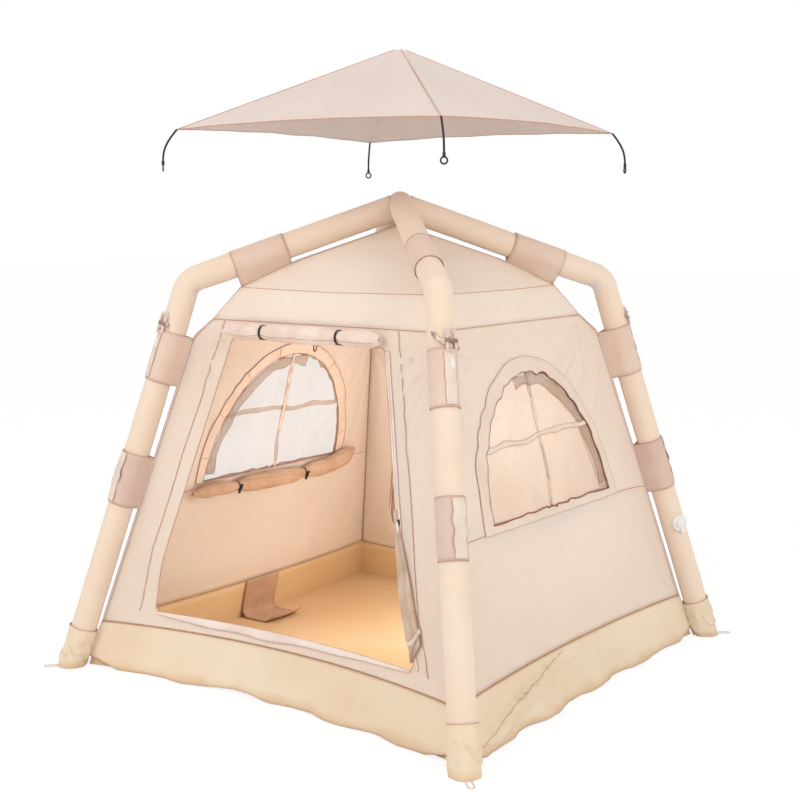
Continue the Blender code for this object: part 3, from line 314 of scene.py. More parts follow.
def skin_faces(rows, columns, round_rows=False, round_columns=False, start=0):
    """Faces of a grid whose rows, and whose run of rows, may close on themselves."""
    faces = []
    for r in range(rows if round_rows else rows - 1):
        below, above = r * columns + start, (r + 1) % rows * columns + start
        for c in range(columns if round_columns else columns - 1):
            n = (c + 1) % columns
            faces.append((below + c, below + n, above + n, above + c))
    return faces


def capped_faces(rows, columns):
    """Faces of a run of closed rows, its two ends filled."""
    last = (rows - 1) * columns
    ends = [tuple(range(columns))[::-1], tuple(range(last, last + columns))]
    return skin_faces(rows, columns, round_columns=True) + ends


def circle(centre, first, second, radius, sides):
    return [centre + turned(first, t, second) * radius for t in turns_round(sides)]


def path_frames(path, closed):
    """Heading at each point of a path, and a side direction that turns as little as it can."""
    frames, side = [], None
    for k in range(len(path)):
        behind = path[k - 1] if k or closed else path[0]
        ahead = path[(k + 1) % len(path)] if k < len(path) - 1 or closed else path[-1]
        heading = (ahead - behind).normalized()
        side = heading.orthogonal() if side is None else side - heading * side.dot(heading)
        side = side.normalized()
        frames.append((heading, side))
    return frames


def tubes_piece(name, paths, radius, sides, finish, closed=False):
    """One piece of several round tubes of the same cord or piping, their ends closed."""
    rows, faces = [], []
    for path in paths:
        path, base = [Vector(p) for p in path], len(rows) * sides
        for point, (heading, side) in zip(path, path_frames(path, closed)):
            rows.append(circle(point, side, heading.cross(side), radius, sides))
        skins = skin_faces(len(path), sides, True, True) if closed else capped_faces(len(path), sides)
        faces += [tuple(i + base for i in face) for face in skins]
    return mesh_piece(name, rows, faces, finish, outward=True)


def turned_piece(name, centre, axis, profile, sides, finish):
    """A turned solid from a profile of (distance along its axis, radius) pairs."""
    side = axis.orthogonal().normalized()
    rows = [circle(centre + axis * along, side, axis.cross(side), radius, sides) for along, radius in profile]
    return mesh_piece(name, rows, capped_faces(len(rows), sides), finish, outward=True)


def cord_piece(name, points, radius, finish):
    """A cord as a curve along its own centre line."""
    data = bpy.data.curves.new(name, "CURVE")
    data.dimensions = "3D"
    data.bevel_depth = radius
    data.bevel_resolution = 3
    data.use_fill_caps = True
    line = data.splines.new("POLY")
    line.points.add(len(points) - 1)
    for target, point in zip(line.points, points):
        target.co = (*point, 1)
    data.materials.append(finish)
    return put(name, data)


def path_length(path):
    return sum((b - a).length for a, b in zip(path, path[1:]))


shock_cord = braid_finish("black_shock_cord", (0.09, 0.085, 0.085), (0.02, 0.02, 0.02), 420)
hook_ring = moulded_finish("black_hook_ring", (0.10, 0.10, 0.10), 0.35)


def fly_cord_line(corner):
    outward = outward_of(corner)
    start = at_corner(corner, FLY_HALF, FLY_RIM - CLEAR) - outward * FLY_CORD_INSET
    points = []
    for share in spaced(0, 1, FLY_CORD_STEPS):
        reach = FLY_CORD_REACH * share + FLY_CORD_BOW * math.sin(math.pi * share)
        points.append(start + outward * reach - UP * (FLY_CORD_DROP * share))
    return points


for corner in CORNERS:
    line = fly_cord_line(corner)
    cord = cord_piece(f"shock_cord_{corner}", line, FLY_CORD_RADIUS, shock_cord)
    heading = (line[-1] - line[-2]).normalized()
    centre = line[-1] + heading * (RING_RADIUS + RING_WIRE / 2)
    loop = circle(centre, heading, across_of(corner), RING_RADIUS, 32)
    ring = tubes_piece(f"hook_ring_{corner}", [loop], RING_WIRE, 10, hook_ring, closed=True)
    crimp = turned_piece(f"cord_crimp_{corner}", line[-1], heading, CRIMP_PROFILE, 16, hook_ring)
    for piece in (cord, ring, crimp):
        assign(piece, body="fly")
    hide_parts(f"fly_cord_{corner}")


# Guylines
# Braided line put away as a hank above each upper leg band, bound round its waist with its own end.
# A white moulded tensioner lies on the band below it.
FOOT_HALF = 1.05
SHOULDER_HALF = 0.654
SHOULDER_HEIGHT = 1.70
BEAM_RADIUS = 0.055
BEAM_SIDES = 16
BAND_CLOTH = 0.002
GUY_RADIUS = 0.0015
HANK_HEIGHT = 1.505
HANK_BEARING = math.radians(25)
HANK_HALF_LENGTH = 0.052
HANK_HALF_WIDTH = 0.050
HANK_LENGTH_STEP = 0.0048
HANK_WIDTH_STEP = 0.0082
HANK_LAYER = 0.0040
HANK_LOOPS = 3
HANK_POINTS = 28
WRAP_COUNT = 4
WRAP_PITCH = 0.0040
WRAP_HALF_WIDE, WRAP_HALF_DEEP = 0.0295, 0.0062
WRAP_STAND = 0.0035
WRAP_RADIUS = 0.0016


def leg_point(corner, height):
    share = height / SHOULDER_HEIGHT
    return at_corner(corner, FOOT_HALF + (SHOULDER_HALF - FOOT_HALF) * share, height)


def leg_axis(corner):
    return (at_corner(corner, SHOULDER_HALF, SHOULDER_HEIGHT) - leg_point(corner, 0)).normalized()


def leg_frame(corner, bearing):
    """Directions on a leg at a bearing from its outer side: up it, across it and straight off it."""
    axis = leg_axis(corner)
    facing = Matrix.Rotation(bearing, 3, "Z") @ outward_of(corner)
    out = (facing - axis * facing.dot(axis)).normalized()
    return axis, axis.cross(out), out


def cuff_bore():
    return (BEAM_RADIUS + CLEAR) / math.cos(math.pi / BEAM_SIDES)


def refinish(nodes, finish):
    """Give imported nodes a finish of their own."""
    for node in nodes:
        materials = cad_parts[node].data.materials
        materials.clear()
        materials.append(finish)


def limited(value, low=0, high=1):
    return min(max(value, low), high)


def hank_path():
    """Loops of a hank on a flat frame (across, up, out): in along one layer, out again along the next."""
    total = 2 * HANK_LOOPS
    points = []
    for k in range(total * HANK_POINTS + 1):
        turns = k / HANK_POINTS
        turn = 2 * math.pi * turns
        inner = turns if turns <= HANK_LOOPS else total - turns
        length = HANK_HALF_LENGTH - HANK_LENGTH_STEP * inner
        width = HANK_HALF_WIDTH - HANK_WIDTH_STEP * inner
        pull_in = 1 - 0.5 * math.sin(turn) ** 2
        climb = limited((turns - HANK_LOOPS) * 2 + 0.5)
        out = GUY_RADIUS + HANK_LAYER * climb
        points.append((width * math.sin(turn) * pull_in, length * math.cos(turn), out))
    return points


guy_braid = braid_finish("guyline_braid", (0.99, 0.95, 0.92), (0.90, 0.78, 0.73), 700)
guy_binding = braid_finish("guyline_binding", (0.80, 0.66, 0.61), (0.46, 0.29, 0.25), 800)
white_moulding = moulded_finish("white_moulding", (0.94, 0.935, 0.92), 0.35)
for corner in CORNERS:
    axis, across, out = leg_frame(corner, HANK_BEARING)
    base = leg_point(corner, HANK_HEIGHT) + out * (cuff_bore() + BAND_CLOTH + CLEAR)
    line = [base + across * x + axis * y + out * z for x, y, z in hank_path()]
    hank = cord_piece(f"guyline_{corner}", line, GUY_RADIUS, guy_braid)
    wraps = []
    for k in range(WRAP_COUNT):
        middle = base + out * WRAP_STAND + axis * (WRAP_PITCH * (k - (WRAP_COUNT - 1) / 2))
        wraps.append([middle + across * (WRAP_HALF_WIDE * math.cos(t)) + out * (WRAP_HALF_DEEP * math.sin(t))
                      for t in turns_round(28)])
    binding = tubes_piece(f"guyline_binding_{corner}", wraps, WRAP_RADIUS, 8, guy_binding, closed=True)
    for piece in (hank, binding):
        assign(piece)
    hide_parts(f"guy_hank_{corner}")
refinish([f"guy_tensioner_{corner}" for corner in CORNERS], white_moulding)


# Air beams
# Sewn sleeves over air bladders: one long arch, and two arms whose ends are sewn to its sides at the top.
# The cloth is drawn tight by the air and puckers on the inside of the shoulder bends.
CROWN_HEIGHT = 2.035
SHOULDER_BEND = 0.10
CROWN_BEND = 0.14
ARM_SINK = 0.0048
ARM_OVERLAP = 0.0005
SOLE = 0.004
SKIN_SIDES = 48
SKIN_STEP = 0.012
PUCKER_DEPTH = 0.0065
PUCKER_PITCH = 0.021
PUCKER_REACH = 0.085
SEAM_RADIUS = 0.0011
SEAM_COLUMN, TOP_COLUMN = 36, 12


def wave_of(tree, vector, direction, pitch):
    """Bands of one direction, one for each pitch in metres, from 0 to 1."""
    given = {"Scale": 1 / (pitch * 3.1416), "Distortion": 0, "Vector": vector}
    wave = add_node(tree, "ShaderNodeTexWave", given, wave_type="BANDS", bands_direction=direction)
    return wave.outputs["Fac"]


def make_weave():
    """Crossed threads and soft creases, as a height."""
    group, start, end, place = node_group(
        "cloth_relief", {"Thread Depth": 0.05, "Crease Depth": 0.5, "Crease Scale": 5.0}, ["Height"])
    slant = {"Rotation": (0, 0, math.radians(45)), "Vector": place}
    bias = add_node(group, "ShaderNodeMapping", slant).outputs[0]
    crossed = math_node(group, "ADD", wave_of(group, bias, "X", 0.0022), wave_of(group, bias, "Y", 0.0022))
    threads = math_node(group, "ADD", wave_of(group, place, "Z", 0.0016), crossed)
    squeeze = add_node(group, "ShaderNodeMapping", {
        "Scale": (1, 1, 0.45), "Rotation": (0.12, 0.2, 0.3), "Vector": place})
    crease = add_node(group, "ShaderNodeTexNoise", {
        "Detail": 3, "Roughness": 0.45, "Distortion": 0.6, "Vector": squeeze.outputs[0],
        "Scale": start["Crease Scale"]})
    height = math_node(group, "ADD", math_node(group, "MULTIPLY", threads, start["Thread Depth"]),
                       math_node(group, "MULTIPLY", crease.outputs["Fac"], start["Crease Depth"]))
    feed(group, end, {"Height": height})
    return group


def make_painted_ground_shade():
    """Painted shade: cloth that darkens towards the ground, in an uneven line."""
    group, start, end, place = node_group(
        "painted_ground_shade", {"Cloth": (0.9, 0.85, 0.8, 1), "Low": (0.7, 0.5, 0.4, 1), "Height": 0.05}, ["Color"])
    above = add_node(group, "ShaderNodeSeparateXYZ", {0: place}).outputs["Z"]
    wander = add_node(group, "ShaderNodeTexNoise", {"Scale": 7, "Vector": place}).outputs["Fac"]
    level = math_node(group, "ADD", math_node(group, "DIVIDE", above, start["Height"]),
                      math_node(group, "MULTIPLY_ADD", wander, 1.2, -0.6))
    fade = add_node(group, "ShaderNodeMapRange", {"To Min": 0.85, "To Max": 0.0, "Value": level},
                    interpolation_type="SMOOTHSTEP")
    feed(group, end, {"Color": mix_colours(group, fade.outputs[0], start["Cloth"], start["Low"])})
    return group


CLOTH_RELIEF = make_weave()
PAINTED_GROUND_SHADE = make_painted_ground_shade()


def cloth_finish(name, colour, shade, amount, tone_scale, thread, crease, crease_scale, depth, roughness=0.85,
                 sheen=0.15, see_through=None, glow=0.0, low=None):
    """Woven cloth: amount and scale of its second tone, its threads and creases, and their depth."""
    made, tree, shader = start_finish(name, {
        "Sheen Weight": sheen, "Sheen Roughness": 0.5, "Specular IOR Level": 0.25})
    if glow:
        feed(tree, shader, {"Subsurface Weight": glow, "Subsurface Radius": (0.02, 0.012, 0.007),
                            "Subsurface Scale": 1.0})
    tone = two_tones(tree, colour, shade, amount, tone_scale)
    tint = tone["Color"]
    # low gives the colour and height of painted shade that darkens the cloth towards the ground
    if low:
        given = {"Low": linear(low[0]), "Height": low[1], "Cloth": tint}
        tint = add_node(tree, "ShaderNodeGroup", given, node_tree=PAINTED_GROUND_SHADE).outputs["Color"]
    given = {"Thread Depth": thread, "Crease Depth": crease, "Crease Scale": crease_scale}
    relief = add_node(tree, "ShaderNodeGroup", given, node_tree=CLOTH_RELIEF).outputs["Height"]
    feed(tree, shader, {"Base Color": tint, "Normal": bump(tree, relief, 0.6, depth),
                        "Roughness": math_node(tree, "MULTIPLY_ADD", tone["Rubbed"], 0.12, roughness - 0.06)})
    if see_through:
        feed(tree, shader, {"Alpha": math_node(tree, "MULTIPLY_ADD", relief, see_through[1], see_through[0])})
    return made


def thread_finish(name, colour, shade):
    """Narrow binding tape."""
    return cloth_finish(name, colour, shade, 0.6, 20, 0.2, 0.1, 60, 0.0006)


seam_thread = thread_finish("seam_binding", (0.79, 0.57, 0.47), (0.68, 0.46, 0.37))
sleeve_cloth = cloth_finish("sleeve_cloth", (0.935, 0.858, 0.785), (0.905, 0.805, 0.715), 0.6, 3.0, 0.05,
                            0.35, 4.0, 0.004, glow=0.10)


def corner_turn(before, corner, after, radius):
    """Centre of the arc that rounds a corner, and the ways from it to the arc's two ends."""
    back, ahead = (before - corner).normalized(), (after - corner).normalized()
    half = back.angle(ahead) / 2
    reach = radius / math.tan(half)
    centre = corner + (back + ahead).normalized() * (radius / math.sin(half))
    return centre, corner + back * reach - centre, corner + ahead * reach - centre


def rounded(corners, bends, steps):
    """A path through corners, each inner one turned into an arc of its own radius."""
    path = [corners[0]]
    for before, corner, after, radius, count in zip(corners, corners[1:], corners[2:], bends, steps):
        centre, start, end = corner_turn(before, corner, after, radius)
        start, end = start.normalized(), end.normalized()
        path += [centre + start.slerp(end, share) * radius for share in spaced(0, 1, count)]
    return path + [corners[-1]]


def evenly(path, step):
    """The same path in even steps."""
    total = path_length(path)
    count = max(int(total / step), 1)
    made, k, walked = [], 0, 0.0
    for i in range(count + 1):
        target = total * i / count
        while k < len(path) - 2 and walked + (path[k + 1] - path[k]).length < target:
            walked += (path[k + 1] - path[k]).length
            k += 1
        run = path[k + 1] - path[k]
        made.append(path[k] + run * ((target - walked) / run.length))
    return made


def crown_drop():
    slope = math.atan2(CROWN_HEIGHT - SHOULDER_HEIGHT, SHOULDER_HALF * math.sqrt(2))
    return CROWN_BEND * (1 / math.cos(slope) - 1)


def arch_line():
    shoulders = [at_corner(c, SHOULDER_HALF, SHOULDER_HEIGHT) for c in ("front_right", "back_left")]
    corners = [leg_point("front_right", SOLE + CLEAR), shoulders[0], UP * CROWN_HEIGHT, shoulders[1],
               leg_point("back_left", SOLE + CLEAR)]
    path = rounded(corners, [SHOULDER_BEND, CROWN_BEND, SHOULDER_BEND], [24, 20, 24])
    return evenly(path, SKIN_STEP), shoulders


def arm_line(corner):
    crown = UP * (CROWN_HEIGHT - crown_drop() - ARM_SINK) + outward_of(corner) * CLEAR
    shoulder = at_corner(corner, SHOULDER_HALF, SHOULDER_HEIGHT)
    path = rounded([leg_point(corner, SOLE + CLEAR), shoulder, crown], [SHOULDER_BEND], [24])
    return evenly(path, SKIN_STEP), [shoulder]


def sleeve_rows(path, across, shoulders):
    """Rings of the sleeve, level at the foot, puckered inside its shoulder bends."""
    rows = []
    for k, point in enumerate(path):
        ahead = (path[min(k + 1, len(path) - 1)] - path[max(k - 1, 0)]).normalized()
        up = across.cross(ahead).normalized()
        near = min(shoulders, key=lambda s: (s - point).length)
        bend = math.exp(-((near - point).length / PUCKER_REACH) ** 2)
        inside = Vector((-near.x, -near.y, -1.1 * near.xy.length)).normalized()
        along = 2 * math.pi * k * SKIN_STEP / PUCKER_PITCH
        ring = []
        for turn in turns_round(SKIN_SIDES):
            spoke = turned(across, turn, up)
            ripple = 0.5 + 0.5 * math.cos(along + 1.3 * math.sin(3 * turn))
            radius = BEAM_RADIUS - PUCKER_DEPTH * bend * max(spoke.dot(inside), 0) ** 1.5 * ripple
            radius += 0.0012 * noise.noise(point * 9 + spoke * 0.7) - 0.0003
            ring.append(point + spoke * radius)
        rows.append([Vector((p.x, p.y, max(p.z, SOLE + CLEAR))) for p in ring])
    return rows


def beam_piece(name, rows, replaced):
    piece = mesh_piece(name, rows, capped_faces(len(rows), SKIN_SIDES), sleeve_cloth, outward=True)
    assign(piece, replaced)


def line_distance(path, point):
    best = math.inf
    for a, b in zip(path, path[1:]):
        run = b - a
        share = limited((point - a).dot(run) / run.length_squared)
        best = min(best, (a + run * share - point).length)
    return best


def arm_end(ring, ahead, crown_run):
    """Carry each point of an arm's last ring on until it meets the arch's side."""
    meeting = BEAM_RADIUS - ARM_OVERLAP
    ends = []
    for p in ring:
        high = 0.12 if line_distance(crown_run, p + ahead * 0.20) > meeting else 0.20
        reach = 0.0
        while reach < high and line_distance(crown_run, p + ahead * reach) > meeting:
            reach += 0.002
        ends.append(p + ahead * reach)
    return ends


arch, shoulders = arch_line()
arch_rows = sleeve_rows(arch, across_of("front_right"), shoulders)
beam_piece("arch_beam", arch_rows, "arch_sleeve")
under = [row[SEAM_COLUMN] for row in arch_rows]
seam_lines = [[p + (p - centre).normalized() * 0.0004 for p, centre in zip(under, arch)][8:-8]]
crown_run = [p for p in arch if p.z > CROWN_HEIGHT - 0.12]
crown_seams = []
for corner, side in (("front_left", "left"), ("back_right", "right")):
    path, shoulders = arm_line(corner)
    kept = [p for p in path if (p - path[-1]).length > 0.15 or p.z < 1.6]
    rows = sleeve_rows(kept, across_of(corner), shoulders)
    ahead = (path[-1] - kept[-1]).normalized()
    start, ends = rows[-1], arm_end(rows[-1], ahead, crown_run)
    rows += [[a.lerp(b, share) for a, b in zip(start, ends)] for share in spaced(0, 1, 8)[1:]]
    rows.append([p + ahead * 0.004 for p in ends])
    beam_piece(f"{side}_arm_beam", rows, f"{side}_arm_sleeve")
    seam_lines.append([row[SEAM_COLUMN] + (row[SEAM_COLUMN] - row[TOP_COLUMN]).normalized() * 0.0004
                       for row in rows[8:-2]])
    middle = sum(ends, Vector()) / len(ends)
    crown_seams.append([p + (p - middle).normalized() * 0.0012 for p in ends])
beam_seams = tubes_piece("beam_seams", seam_lines, SEAM_RADIUS, 6, seam_thread)
crown_seam = tubes_piece("crown_seams", crown_seams, SEAM_RADIUS, 6, seam_thread, closed=True)
for piece in (beam_seams, crown_seam):
    assign(piece)
refinish(("arch_bladder", "left_arm_bladder", "right_arm_bladder"),
         moulded_finish("bladder_film", (0.86, 0.87, 0.87), 0.35))


# Bands
# Wide bands of cloth sewn round the beams, whose two ends meet in a gusset on the body's corner seam.
# There are two on each leg and one on each roof beam, hemmed at both ends with brown binding.
BASE_HALF = 1.000
ELBOW_HALF, ELBOW_HEIGHT = 0.645, 1.457
EAVE_HALF, EAVE_HEIGHT = 0.582, 1.535
RIDGE_HALF, RIDGE_HEIGHT = 0.495, 1.672
UPPER_RIDGE_HALF, UPPER_RIDGE_HEIGHT = 0.32, 1.787
PEAK_HEIGHT = 1.93
BAND_LEVELS = {"upper": (1.27, 1.48), "lower": (0.73, 0.955)}
ROOF_BAND = (0.355, 0.515)
BAND_ARC = 40
BAND_FLANK = 7
BAND_ROWS = 13
CLOTH_THICK = 0.0014
RIB_PROFILE = [(BASE_HALF, 0), (ELBOW_HALF, ELBOW_HEIGHT), (EAVE_HALF, EAVE_HEIGHT),
               (RIDGE_HALF, RIDGE_HEIGHT), (UPPER_RIDGE_HALF, UPPER_RIDGE_HEIGHT), (0, PEAK_HEIGHT)]

band_look = (0.6, 6.0, 0.06, 0.6, 12.0, 0.004)
band_cloth = cloth_finish("band_cloth", (0.895, 0.80, 0.735), (0.855, 0.745, 0.675), *band_look)
# A darker copy of the band cloth for the lower leg bands: painted shade lower down the legs.
band_cloth_painted_shade = cloth_finish("band_cloth_painted_shade", (0.865, 0.765, 0.71), (0.815, 0.695, 0.635), *band_look)
stitch_lines = {"tent": [], "fly": []}


def note_stitches(row, beside, share, stand, body="tent", closed=True):
    """Keep a line of stitches for later: a share of the way from one row to the next, standing off it."""
    line = [a.lerp(b, share) + (stand(a) if callable(stand) else stand) for a, b in zip(row, beside)]
    stitch_lines[body].append(line + line[:1] if closed else line)


def off_centre(centre, stand):
    """How far stitches stand off cloth that runs round a centre."""
    return lambda point: (point - centre).normalized() * stand


def thicken(piece, thickness):
    """Give a sheet its thickness, half to each side."""
    cloth = piece.modifiers.new("cloth", "SOLIDIFY")
    cloth.thickness = thickness
    cloth.offset = 0


def cloth_piece(name, rows, finish, thickness, replaced=None, closed=False):
    """A sheet of cloth from a grid of points."""
    piece = mesh_piece(name, rows, skin_faces(len(rows), len(rows[0]), round_columns=closed), finish)
    thicken(piece, thickness)
    assign(piece, replaced)
    return piece


def seam_distance(corner, start, direction):
    """Distance from a beam's centre line to the body's corner seam, in the corner's upright plane."""
    outward = outward_of(corner)
    origin = Vector((start.dot(outward), start.z))
    heading = Vector((direction.dot(outward), direction.z))
    seam = [Vector((half * math.sqrt(2), height)) for half, height in RIB_PROFILE]
    found = []
    for first, second in zip(seam, seam[1:]):
        run, offset = second - first, first - origin
        turn = heading.x * run.y - heading.y * run.x
        distance = (offset.x * run.y - offset.y * run.x) / turn
        share = (offset.x * heading.y - offset.y * heading.x) / turn
        if 0 <= share <= 1 and distance > 0:
            found.append(distance)
    return min(found)


def band_row(corner, centre, axis, inward, seed, share):
    """One teardrop row of a band: round the beam, and drawn to the corner seam in two flanks."""
    reach = seam_distance(corner, centre, inward) - CLEAR
    girth = cuff_bore() + BAND_CLOTH / 2
    opening = math.acos(girth / reach)
    across, tip = axis.cross(inward), inward * reach
    first, last = [inward * (girth * math.cos(opening)) + across * (way * girth * math.sin(opening))
                   for way in (1, -1)]
    row = [tip.lerp(first, k / BAND_FLANK) for k in range(BAND_FLANK)]
    row += [turned(inward, turn, across) * girth for turn in spaced(opening, 2 * math.pi - opening, BAND_ARC)]
    row += [last.lerp(tip, k / BAND_FLANK) for k in range(1, BAND_FLANK)]
    placed = []
    for spoke in row:
        loose = math.sin(math.pi * limited(1.15 * spoke.dot(inward) / reach))
        slack = 0.0045 * loose * noise.noise(spoke * 22 + Vector((seed, share * 3, 0)))
        swell = 0.0008 + 0.0010 * noise.noise(spoke * 30 + axis * share * 9 + Vector((seed, 0, 5)))
        placed.append(centre + spoke + spoke.normalized() * swell + across * slack)
    return placed


def cloth_band(name, corner, ends, axis, aim, seed, replaced, finish):
    """A hemmed band round a beam, between two places on its centre line, its tip towards an aim."""
    inward = across_of(corner).cross(axis)
    inward = inward if inward.dot(aim) > 0 else -inward
    rows = [band_row(corner, ends[0].lerp(ends[1], share), axis, inward, seed, share)
            for share in spaced(0, 1, BAND_ROWS - 1)]
    piece = cloth_piece(name, rows, finish, CLOTH_THICK, replaced, closed=True)
    hems = tubes_piece(f"{name}_hems", [rows[0], rows[-1]], SEAM_RADIUS, 6, seam_thread, closed=True)
    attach(hems, "tent")
    round_beam = slice(BAND_FLANK, -BAND_FLANK)
    for row, beside, end in ((rows[0], rows[1], ends[0]), (rows[-1], rows[-2], ends[1])):
        note_stitches(row[round_beam], beside[round_beam], 0.35, off_centre(end, 0.0009), closed=False)


for number, corner in enumerate(CORNERS):
    for level, (low, high) in BAND_LEVELS.items():
        ends = [leg_point(corner, h) for h in (low, high)]
        # The lower bands take the darker copy, painted shade.
        tint = band_cloth_painted_shade if level == "lower" else band_cloth
        cloth_band(f"{level}_leg_band_{corner}", corner, ends, leg_axis(corner), -outward_of(corner),
                   number * 7.3 + low, f"{level}_band_{corner}", tint)
    crown = UP * CROWN_HEIGHT
    if corner in ("front_left", "back_right"):
        crown.z -= crown_drop() + ARM_SINK
    shoulder = at_corner(corner, SHOULDER_HALF, SHOULDER_HEIGHT)
    ends = [crown.lerp(shoulder, half / SHOULDER_HALF) for half in ROOF_BAND]
    cloth_band(f"top_band_{corner}", corner, ends, (shoulder - crown).normalized(), -UP, number * 3.1,
               f"roof_band_{corner}", band_cloth)


# Webbing strips on the leg bands
# A strip of webbing is sewn down each upper band under its hank, and a crumpled tab hangs on each lower band.
# A third strip, a keeper, lies across the leg under the hank with its ends bound dark.
STRIP_CLOTH = 0.0012
STRIP_EDGE = 0.0009
STRIP_ROWS, STRIP_COLUMNS = 23, 9
UPPER_STRIP = {"bearing": math.radians(18), "ends": (1.276, 1.475), "width": 0.050, "stand": 0.0022,
               "crumple": 0.0015}
LOWER_TAB = {"bearing": math.radians(22), "ends": (0.735, 0.95), "width": 0.058, "stand": 0.0030,
             "crumple": 0.0060}
KEEPER_ROWS = 45
KEEPER_HALF = 0.011
KEEPER_TURN, KEEPER_SWEEP = -1.25, 1.95
KEEPER_BARS = (1, 4, 42)

webbing = cloth_finish("webbing", (0.92, 0.86, 0.81), (0.86, 0.775, 0.715), 0.6, 14.0, 0.25, 0.3, 30.0,
                       0.0016)


def noise_at(x, y, z):
    return noise.noise(Vector((x, y, z)))


def long_edges(rows):
    return [[row[0] for row in rows], [row[-1] for row in rows]]


def strip_on_leg(name, corner, level, seed, bearing, ends, width, stand, crumple):
    """Webbing down a leg band, its middle loose."""
    _, across, out = leg_frame(corner, bearing)
    radius = cuff_bore() + BAND_CLOTH + stand
    last = STRIP_ROWS - 1
    low, high = ends
    rows = []
    for r in range(STRIP_ROWS):
        centre = leg_point(corner, low + (high - low) * r / last)
        loose = math.sin(math.pi * r / last)
        drift = across * (crumple * 0.8 * math.sin(r * 0.8 + seed) * loose)
        row = []
        for c in range(STRIP_COLUMNS):
            turn = (c / (STRIP_COLUMNS - 1) - 0.5) * width / radius
            fold = crumple * (noise_at(c * 0.45, r * 0.30, seed) + 0.55) * loose
            row.append(centre + turned(out, turn, across) * (radius + max(fold, 0)) + drift)
        rows.append(row)
    piece = cloth_piece(name, rows, webbing, STRIP_CLOTH)
    edges = tubes_piece(f"{name}_edges", [*long_edges(rows), rows[0], rows[-1]], STRIP_EDGE, 6, seam_thread)
    assign(edges)


def hank_keeper(corner, seed):
    """A crumpled strip of webbing that lies across the leg under the hank."""
    axis, across, out = leg_frame(corner, HANK_BEARING)
    rows = []
    for share in spaced(0, 1, KEEPER_ROWS - 1):
        turn = KEEPER_TURN + KEEPER_SWEEP * share
        spoke, side = turned(out, turn, across), turned(across, turn, -out)
        height = HANK_HEIGHT + 0.018 - 0.030 * share + 0.010 * math.sin(share * 9 + seed)
        centre = leg_point(corner, height)
        twist = 0.9 * math.sin(share * 11 + seed)
        half = KEEPER_HALF * (1 + 0.5 * noise_at(share * 9, seed, 1))
        rise = 0.0016 + 0.004 * abs(math.sin(share * 13 + seed))
        row = []
        for w in (-1, -0.5, 0, 0.5, 1):
            lift = max(rise + half * w * math.sin(twist), STRIP_CLOTH)
            row.append(centre + spoke * (cuff_bore() + 0.0004 + lift) + axis * (half * w * math.cos(twist))
                       + side * 0.002 * math.sin(w * 3 + share * 20))
        rows.append(row)
    strap = cloth_piece(f"hank_keeper_{corner}", rows, webbing, STRIP_CLOTH)
    rims = tubes_piece(f"hank_keeper_edges_{corner}", long_edges(rows), 0.0008, 6, seam_thread)
    bars = []
    for row in (rows[k] for k in KEEPER_BARS):
        middle = [p + (p - leg_point(corner, p.z)) * 0.03 for p in row[1:4]]
        bars.append([row[0] + (row[0] - row[2]) * 0.1, *middle, row[4]])
    dark = tubes_piece(f"hank_keeper_bars_{corner}", bars, 0.0026, 8, guy_binding)
    for made in (rims, dark):
        assign(made)


for number, corner in enumerate(CORNERS):
    hank_keeper(corner, number * 1.7)
    strip_on_leg(f"webbing_strip_{corner}", corner, "upper", number + 0.3, **UPPER_STRIP)
    strip_on_leg(f"webbing_tab_{corner}", corner, "lower", number + 5.1, **LOWER_TAB)


# Foot cuffs
# A cup of coated groundsheet cloth that each foot stands in, gathered round the beam,
# with a loop of webbing sewn under its outer side for a stake.
CUFF_CLOTH = 0.003
CUFF_HEIGHT = 0.175
CUFF_SOLE = 0.0012
CUFF_ROWS, CUFF_SIDES = 27, 56
LOOP_LENGTH = 0.072
LOOP_WIDTH = 0.030
LOOP_WEB = 0.007
LOOP_THICK = 0.003
LOOP_TUCK = 0.006

# The low colour is painted shade: this cloth darkens to tan near the ground, on the flap and the foot cups.
ground_cloth = cloth_finish("groundsheet_cloth", (0.935, 0.87, 0.78), (0.905, 0.80, 0.67), 0.7, 3.0, 0.04,
                            0.9, 7.0, 0.009, roughness=0.62, sheen=0.05, low=((0.87, 0.74, 0.59), 0.048))


def cuff_rows(corner, seed):
    """Rings of a cuff: gathered, and crumpled in slanting ridges."""
    axis, outward, across = leg_axis(corner), outward_of(corner), across_of(corner)
    rows = []
    for share in spaced(0, 1, CUFF_ROWS - 1):
        centre = leg_point(corner, CUFF_SOLE + (CUFF_HEIGHT - CUFF_SOLE) * share)
        ring = []
        for s, turn in enumerate(turns_round(CUFF_SIDES)):
            spoke = turned(outward, turn, across)
            gather = 0.0016 * (0.5 + 0.5 * math.sin(14 * turn + 2 * noise_at(s * 0.2, seed, 0)))
            gather *= 0.35 + 0.65 * (1 - share)
            fold = noise.noise(spoke * 1.6 + UP * (share * 2.2 + seed))
            ridge = 1 - abs(math.sin(3 * turn + 5 * share + 3 * fold + seed))
            crumple = 0.0120 * ridge ** 4 * math.sin(math.pi * min(share + 0.14, 1)) + 0.0050 * max(fold, 0)
            radius = cuff_bore() + 0.0014 + gather + crumple
            ring.append(centre + spoke * radius - UP * (spoke.dot(axis) * radius * share))
        rows.append(ring)
    return rows


def stake_loop_line():
    """The loop's middle line as (out, across) pairs: out along one side, round its end and back."""
    middle = (LOOP_WIDTH - LOOP_WEB) / 2
    bend = LOOP_LENGTH - LOOP_WIDTH / 2
    arc = spaced(0, math.pi, 12)[1:-1]
    return [(0.0, -middle), (0.012, -middle), (bend, -middle),
            *((bend + middle * math.sin(t), -middle * math.cos(t)) for t in arc),
            (bend, middle), (0.012, middle), (0.0, middle)]


